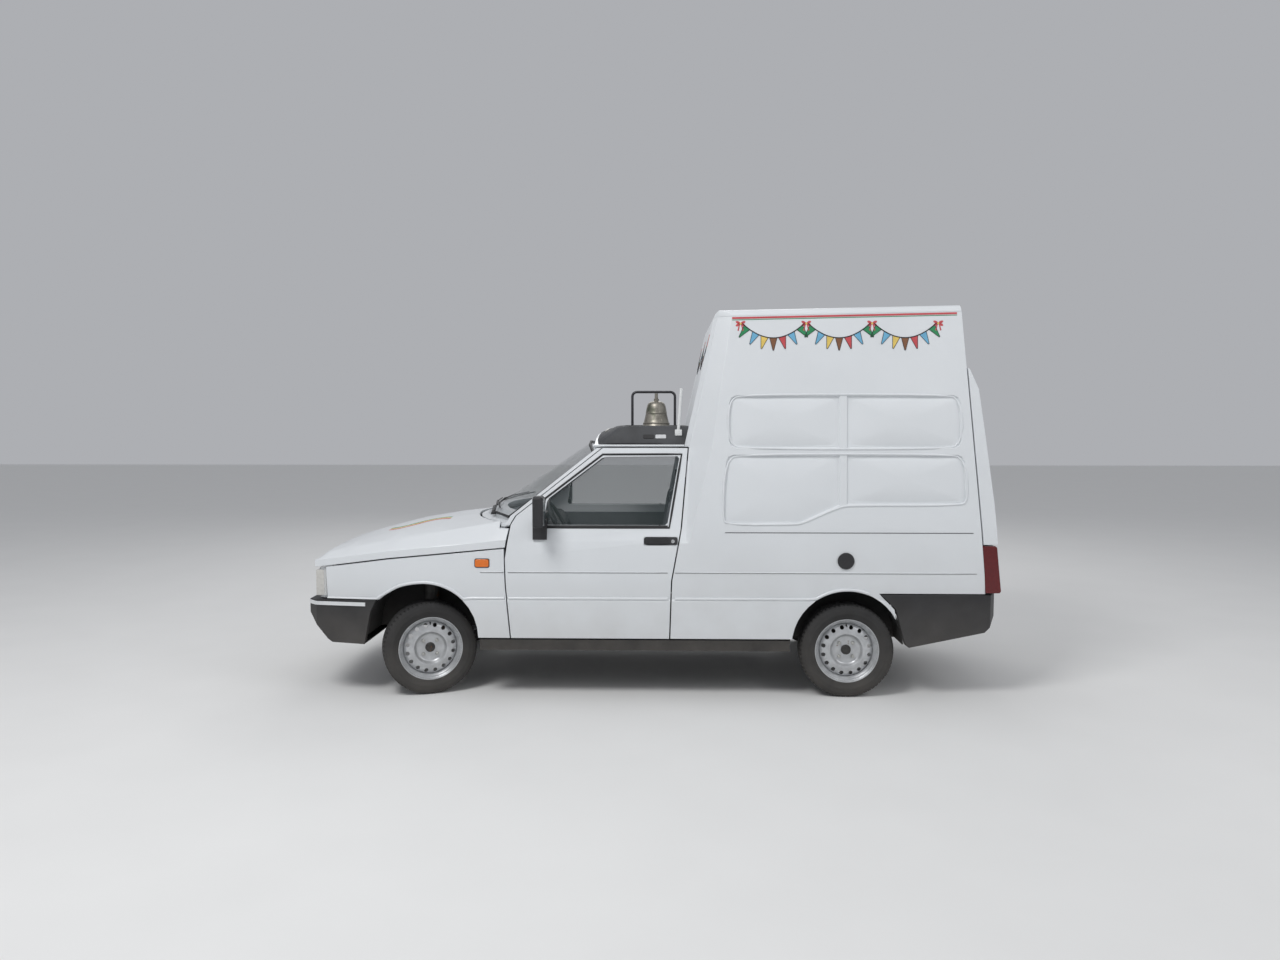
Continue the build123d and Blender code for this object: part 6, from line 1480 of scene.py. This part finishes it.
head = block((-1.46, 0.0, 0.846), (0.30, 0.56, 0.026), 0.006)
for step in range(9):
    join_into(head, block((-1.46, -0.24 + 0.06 * step, 0.842), (0.32, 0.010, 0.018), 0.002))
part("engine_head", head, ALLOY)
cover = slab(rounded(0.15, 0.44, 0.03), 0.044, Matrix.Translation((-1.44, -0.03, 0.857)))
for y in (-0.19, -0.12, -0.05, 0.02, 0.09):
    join_into(cover, block((-1.44, y, 0.902), (0.11, 0.012, 0.006), 0.002))
part("rocker_cover", cover, BLACK, 0.006)
filler = spun(((0, 0), (26, 0), (26, 14), (22, 20), (8, 20), (7, 26), (0, 26)),
              Matrix.Translation((-1.44, 0.15, 0.898)), 30)
part("oil_filler", filler, RUBBER)
drum = spun(((0, 0), (98, 0), (104, 4), (104, 40), (108, 44), (108, 52), (100, 58), (40, 60), (34, 64),
             (0, 64)), Matrix.Translation((-1.60, 0.20, 0.842)), 48)
join_into(drum, spun(((0, 0), (13, 0), (13, 9), (0, 9)), Matrix.Translation((-1.60, 0.20, 0.905)), 6))
part("air_filter", drum, BLACK)
snorkel = tube(soft_line([(-1.68, 0.24, 0.872), (-1.78, 0.27, 0.87), (-1.86, 0.29, 0.80),
                          (-1.865, 0.29, 0.74)], 2), 0.025, 18)
part("air_intake", snorkel, BLACK)
core = block((-1.912, 0, 0.57), (0.026, 0.52, 0.33), 0.002)
fins = bmesh.new()
for number in range(34):
    join_into(fins, block((-1.912, 0, 0.412 + 0.0096 * number), (0.034, 0.50, 0.0022)))
part("radiator_fins", fins, ALLOY)
part("radiator_core", core, RUBBER)
tanks = bmesh.new()
for y in (-0.28, 0.28):
    join_into(tanks, block((-1.912, y, 0.57), (0.046, 0.045, 0.36), 0.010))
    join_into(tanks, block((-1.912, y, 0.365), (0.02, 0.03, 0.075), 0.002))
join_into(tanks, spun(((0, 0), (20, 0), (20, 12), (17, 16), (0, 16)),
                      Matrix.Translation((-1.912, 0.28, 0.748)), 24))
part("radiator_tanks", tanks, BLACK)
fan_at = placed((-1.880, 0.0, 0.57), (0, 1, 0), (1, 0, 0))
shroud = spun(((148, -8), (162, -8), (162, 26), (156, 30), (148, 30)), fan_at, 48, closed=True)
for turn in (45, 135, 225, 315):
    spoke = fan_at @ Matrix.Rotation(radians(turn), 4, "Z")
    join_into(shroud, tube([spoke @ Vector((0.02, 0, 0.024)), spoke @ Vector((0.155, 0, 0.024))], 0.005, 8))
part("fan_shroud", shroud, BLACK)
blades = spun(((0, -4), (34, -4), (34, 34), (28, 40), (0, 40)), fan_at, 32)
for number in range(5):
    turned = fan_at @ Matrix.Rotation(2 * pi * number / 5, 4, "Z") @ Matrix.Translation((0.085, 0, 0.008))
    blade = slab([(-0.055, -0.02), (0.055, -0.034), (0.058, 0.02), (-0.055, 0.024)], 0.003,
                 turned @ Matrix.Rotation(radians(24), 4, "X"))
    join_into(blades, blade)
part("fan_blades", blades, TRIM)
for name, points in (
    ("top", [(-1.895, -0.27, 0.70), (-1.84, -0.26, 0.735), (-1.74, -0.20, 0.80), (-1.62, -0.16, 0.852)]),
    ("low", [(-1.895, 0.27, 0.44), (-1.85, 0.25, 0.43), (-1.78, 0.20, 0.50), (-1.74, 0.18, 0.52)]),
):
    part(f"hose_{name}", tube(soft_line(points, 3), 0.018, 16), RUBBER)
for name, side in (("battery", 1), ("washer", -1)):
    tray = block((-1.80, side * 0.58, 0.533), (0.22, 0.26, 0.010), 0.003)
    join_into(tray, block((-1.80, side * 0.705, 0.56), (0.20, 0.008, 0.06), 0.002))
    part(f"{name}_tray", tray, UNDER)
battery = block((-1.80, 0.58, 0.622), (0.168, 0.24, 0.165), 0.006)
join_into(battery, block((-1.80, 0.58, 0.709), (0.172, 0.244, 0.014), 0.004))
part("battery_case", battery, BLACK)
caps = bmesh.new()
for number in range(6):
    join_into(caps, spun(((0, 0), (12, 0), (12, 6), (9, 8), (0, 8)),
                         Matrix.Translation((-1.775, 0.485 + 0.038 * number, 0.715)), 20))
part("battery_caps", caps, TRIM)
for name, y, colour in (("plus", 0.49, SIGN_RED), ("minus", 0.67, RUBBER)):
    post = spun(((0, 0), (9, 0), (8, 17), (0, 18)), Matrix.Translation((-1.845, y, 0.715)), 20)
    join_into(post, block((-1.845, y, 0.727), (0.036, 0.026, 0.012), 0.003))
    part(f"battery_{name}", post, ZINC)
    lead = [(-1.845, y, 0.728), (-1.80, y - 0.03, 0.775), (-1.72, y - 0.09, 0.74), (-1.70, 0.36, 0.70)]
    part(f"battery_lead_{name}", tube(soft_line(lead, 3), 0.006, 10), colour)
bottle = block((-1.80, -0.60, 0.613), (0.12, 0.20, 0.15), 0.018)
join_into(bottle, spun(((0, 0), (24, 0), (24, 16), (0, 16)), Matrix.Translation((-1.80, -0.63, 0.683)), 24))
part("washer_bottle", bottle, BOTTLE)
part("washer_cap", spun(((0, 0), (27, 0), (27, 12), (22, 17), (0, 18)),
                        Matrix.Translation((-1.80, -0.63, 0.697)), 24), SIGN_BLUE)
servo = placed((-1.12, -0.38, 0.86), (0, 1, 0), (-1, 0, 0))
shell = spun(((0, 0), (70, 0), (96, 12), (100, 24), (104, 26), (104, 32), (98, 36), (90, 56), (60, 70),
              (24, 74), (20, 84), (0, 84)), servo, 48)
join_into(shell, spun(((0, 80), (17, 80), (17, 190), (12, 196), (0, 196)), servo, 24))
part("brake_servo", shell, BLACK)
part("brake_reservoir", block((-1.26, -0.38, 0.905), (0.11, 0.06, 0.05), 0.010), BOTTLE)
spread = spun(((0, -20), (34, -20), (34, 20), (28, 40), (12, 46), (0, 46)),
              Matrix.Translation((-1.29, 0.26, 0.86)), 28)
part("distributor", spread, TRIM)
for number in range(4):
    far = (-1.36, -0.18 + 0.10 * number, 0.872)
    line = [(-1.29 + 0.016 * (number % 2), 0.25 + 0.01 * number, 0.90),
            (-1.30, 0.16, 0.935 + 0.004 * number), (-1.33, far[1] + 0.05, 0.925), far]
    part(f"spark_lead_{number}", tube(soft_line(line, 3), 0.0038, 8), RUBBER)

# Underside: floor ribs, tank straps, dampers, brake line
for number, y in enumerate((-0.46, -0.28, 0.28, 0.46)):
    rib = tube([(-0.70, y, 0.331), (-0.66, y, 0.329), (0.14, y, 0.329), (0.18, y, 0.331)],
               [0.004, 0.012, 0.012, 0.004], 12)
    part(f"floor_rib_{number}", rib, UNDER)
for number, x in enumerate((0.50, 0.69)):
    strap = block((x, -0.09, 0.3985), (0.028, 0.50, 0.004), 0.001)
    part(f"tank_strap_{number}", strap, ZINC)
for name, side in SIDES:
    damper = tube([(1.29, side * 0.40, 0.30), (1.34, side * 0.40, 0.44)], 0.024, 20)
    join_into(damper, tube([(1.34, side * 0.40, 0.44), (1.39, side * 0.40, 0.583)], 0.009, 12))
    join_into(damper, block((1.27, side * 0.40, 0.292), (0.08, 0.04, 0.016), 0.003))
    part(f"damper_{name}", damper, UNDER)
line = [(-1.10, -0.22, 0.40), (-0.85, -0.20, 0.326), (0.20, -0.20, 0.326), (0.33, -0.24, 0.40),
        (0.36, -0.40, 0.575), (1.10, -0.42, 0.578)]
part("brake_line", tube(soft_line(line, 3), 0.004, 8), ZINC)

# Load space: floor runners, wall battens and a lamp under the roof
runners = bmesh.new()
for number in range(11):
    join_into(runners, block((1.13, -0.50 + 0.10 * number, 0.6145), (1.18, 0.026, 0.006), 0.002))
part("load_runners", runners, DECK)
INSIDE_WALL = skin_of("box_sides")
BATTEN_AT = (0.60, 0.9, 1.2, 1.5, 1.76)  # lengths at which a batten meets the wall
for name, side in SIDES:
    for number, z in enumerate((1.04, 1.49, 1.86, 2.20)):
        rows = []
        for drop in (-0.022, 0.0, 0.022):
            rows.append([touch(INSIDE_WALL, (x, side * 0.3, z + drop), (0, side, 0)) for x in BATTEN_AT])
        part(f"wall_batten_{name}_{number}", sheet_of(rows, 0.010, 0.002), WHITE_TRIM, 0.002)
lining = touch(ROOF_SKIN, (1.1, 0, 1.7), (0, 0, 1))[0]
lamp = placed(lining - Vector((0, 0, 0.019)), (1, 0, 0), (0, 0, 1))
part("load_lamp", slab(rounded(0.16, 0.07, 0.014), 0.020, lamp), PALE_LENS, 0.004)


# Floor, backdrop colour, light and camera
GROUND = finish("studio_floor", (0.78, 0.78, 0.77), 0.8, vary=0.01, grain=2.0)
ground = link("studio_ground", block((0, 0, -0.02), (60, 60, 0.04)), GROUND, None)

world = bpy.data.worlds.new("studio")
bpy.context.scene.world = world
world.use_nodes = True
sky = world.node_tree.nodes["Background"]
sky.inputs["Color"].default_value = (0.93, 0.95, 1.0, 1)
sky.inputs["Strength"].default_value = 0.45

LAMPS = (  # place, aim, size, watts
    ((-3.0, -5.0, 7.5), (0.0, 0.0, 0.9), 2.6, 330),
    ((5.5, -4.5, 5.0), (0.4, 0.0, 1.0), 3.5, 90),
    ((0.0, 7.0, 6.0), (0.0, 0.0, 1.0), 5.0, 150),
)
for number, (place, aim, size, watts) in enumerate(LAMPS):
    data = bpy.data.lights.new(f"studio_lamp_{number}", "AREA")
    data.size = size
    data.energy = watts
    lamp = bpy.data.objects.new(f"studio_lamp_{number}", data)
    lamp.location = place
    lamp.rotation_euler = (Vector(aim) - Vector(place)).to_track_quat("-Z", "Y").to_euler()
    bpy.context.scene.collection.objects.link(lamp)

CAMERA_AT = (0.085, -6.525, 1.671)
CAMERA_YAW = radians(-1.33)
CAMERA_DOWN = radians(3.51)
eye = bpy.data.cameras.new("camera")
eye.lens = 27.03
eye.sensor_width = 36
camera = bpy.data.objects.new("camera", eye)
camera.location = CAMERA_AT
ahead = Vector((sin(CAMERA_YAW) * cos(CAMERA_DOWN), cos(CAMERA_YAW) * cos(CAMERA_DOWN), -sin(CAMERA_DOWN)))
camera.rotation_euler = ahead.to_track_quat("-Z", "Y").to_euler()
bpy.context.scene.collection.objects.link(camera)
bpy.context.scene.camera = camera
bpy.context.scene.view_settings.view_transform = "Standard"
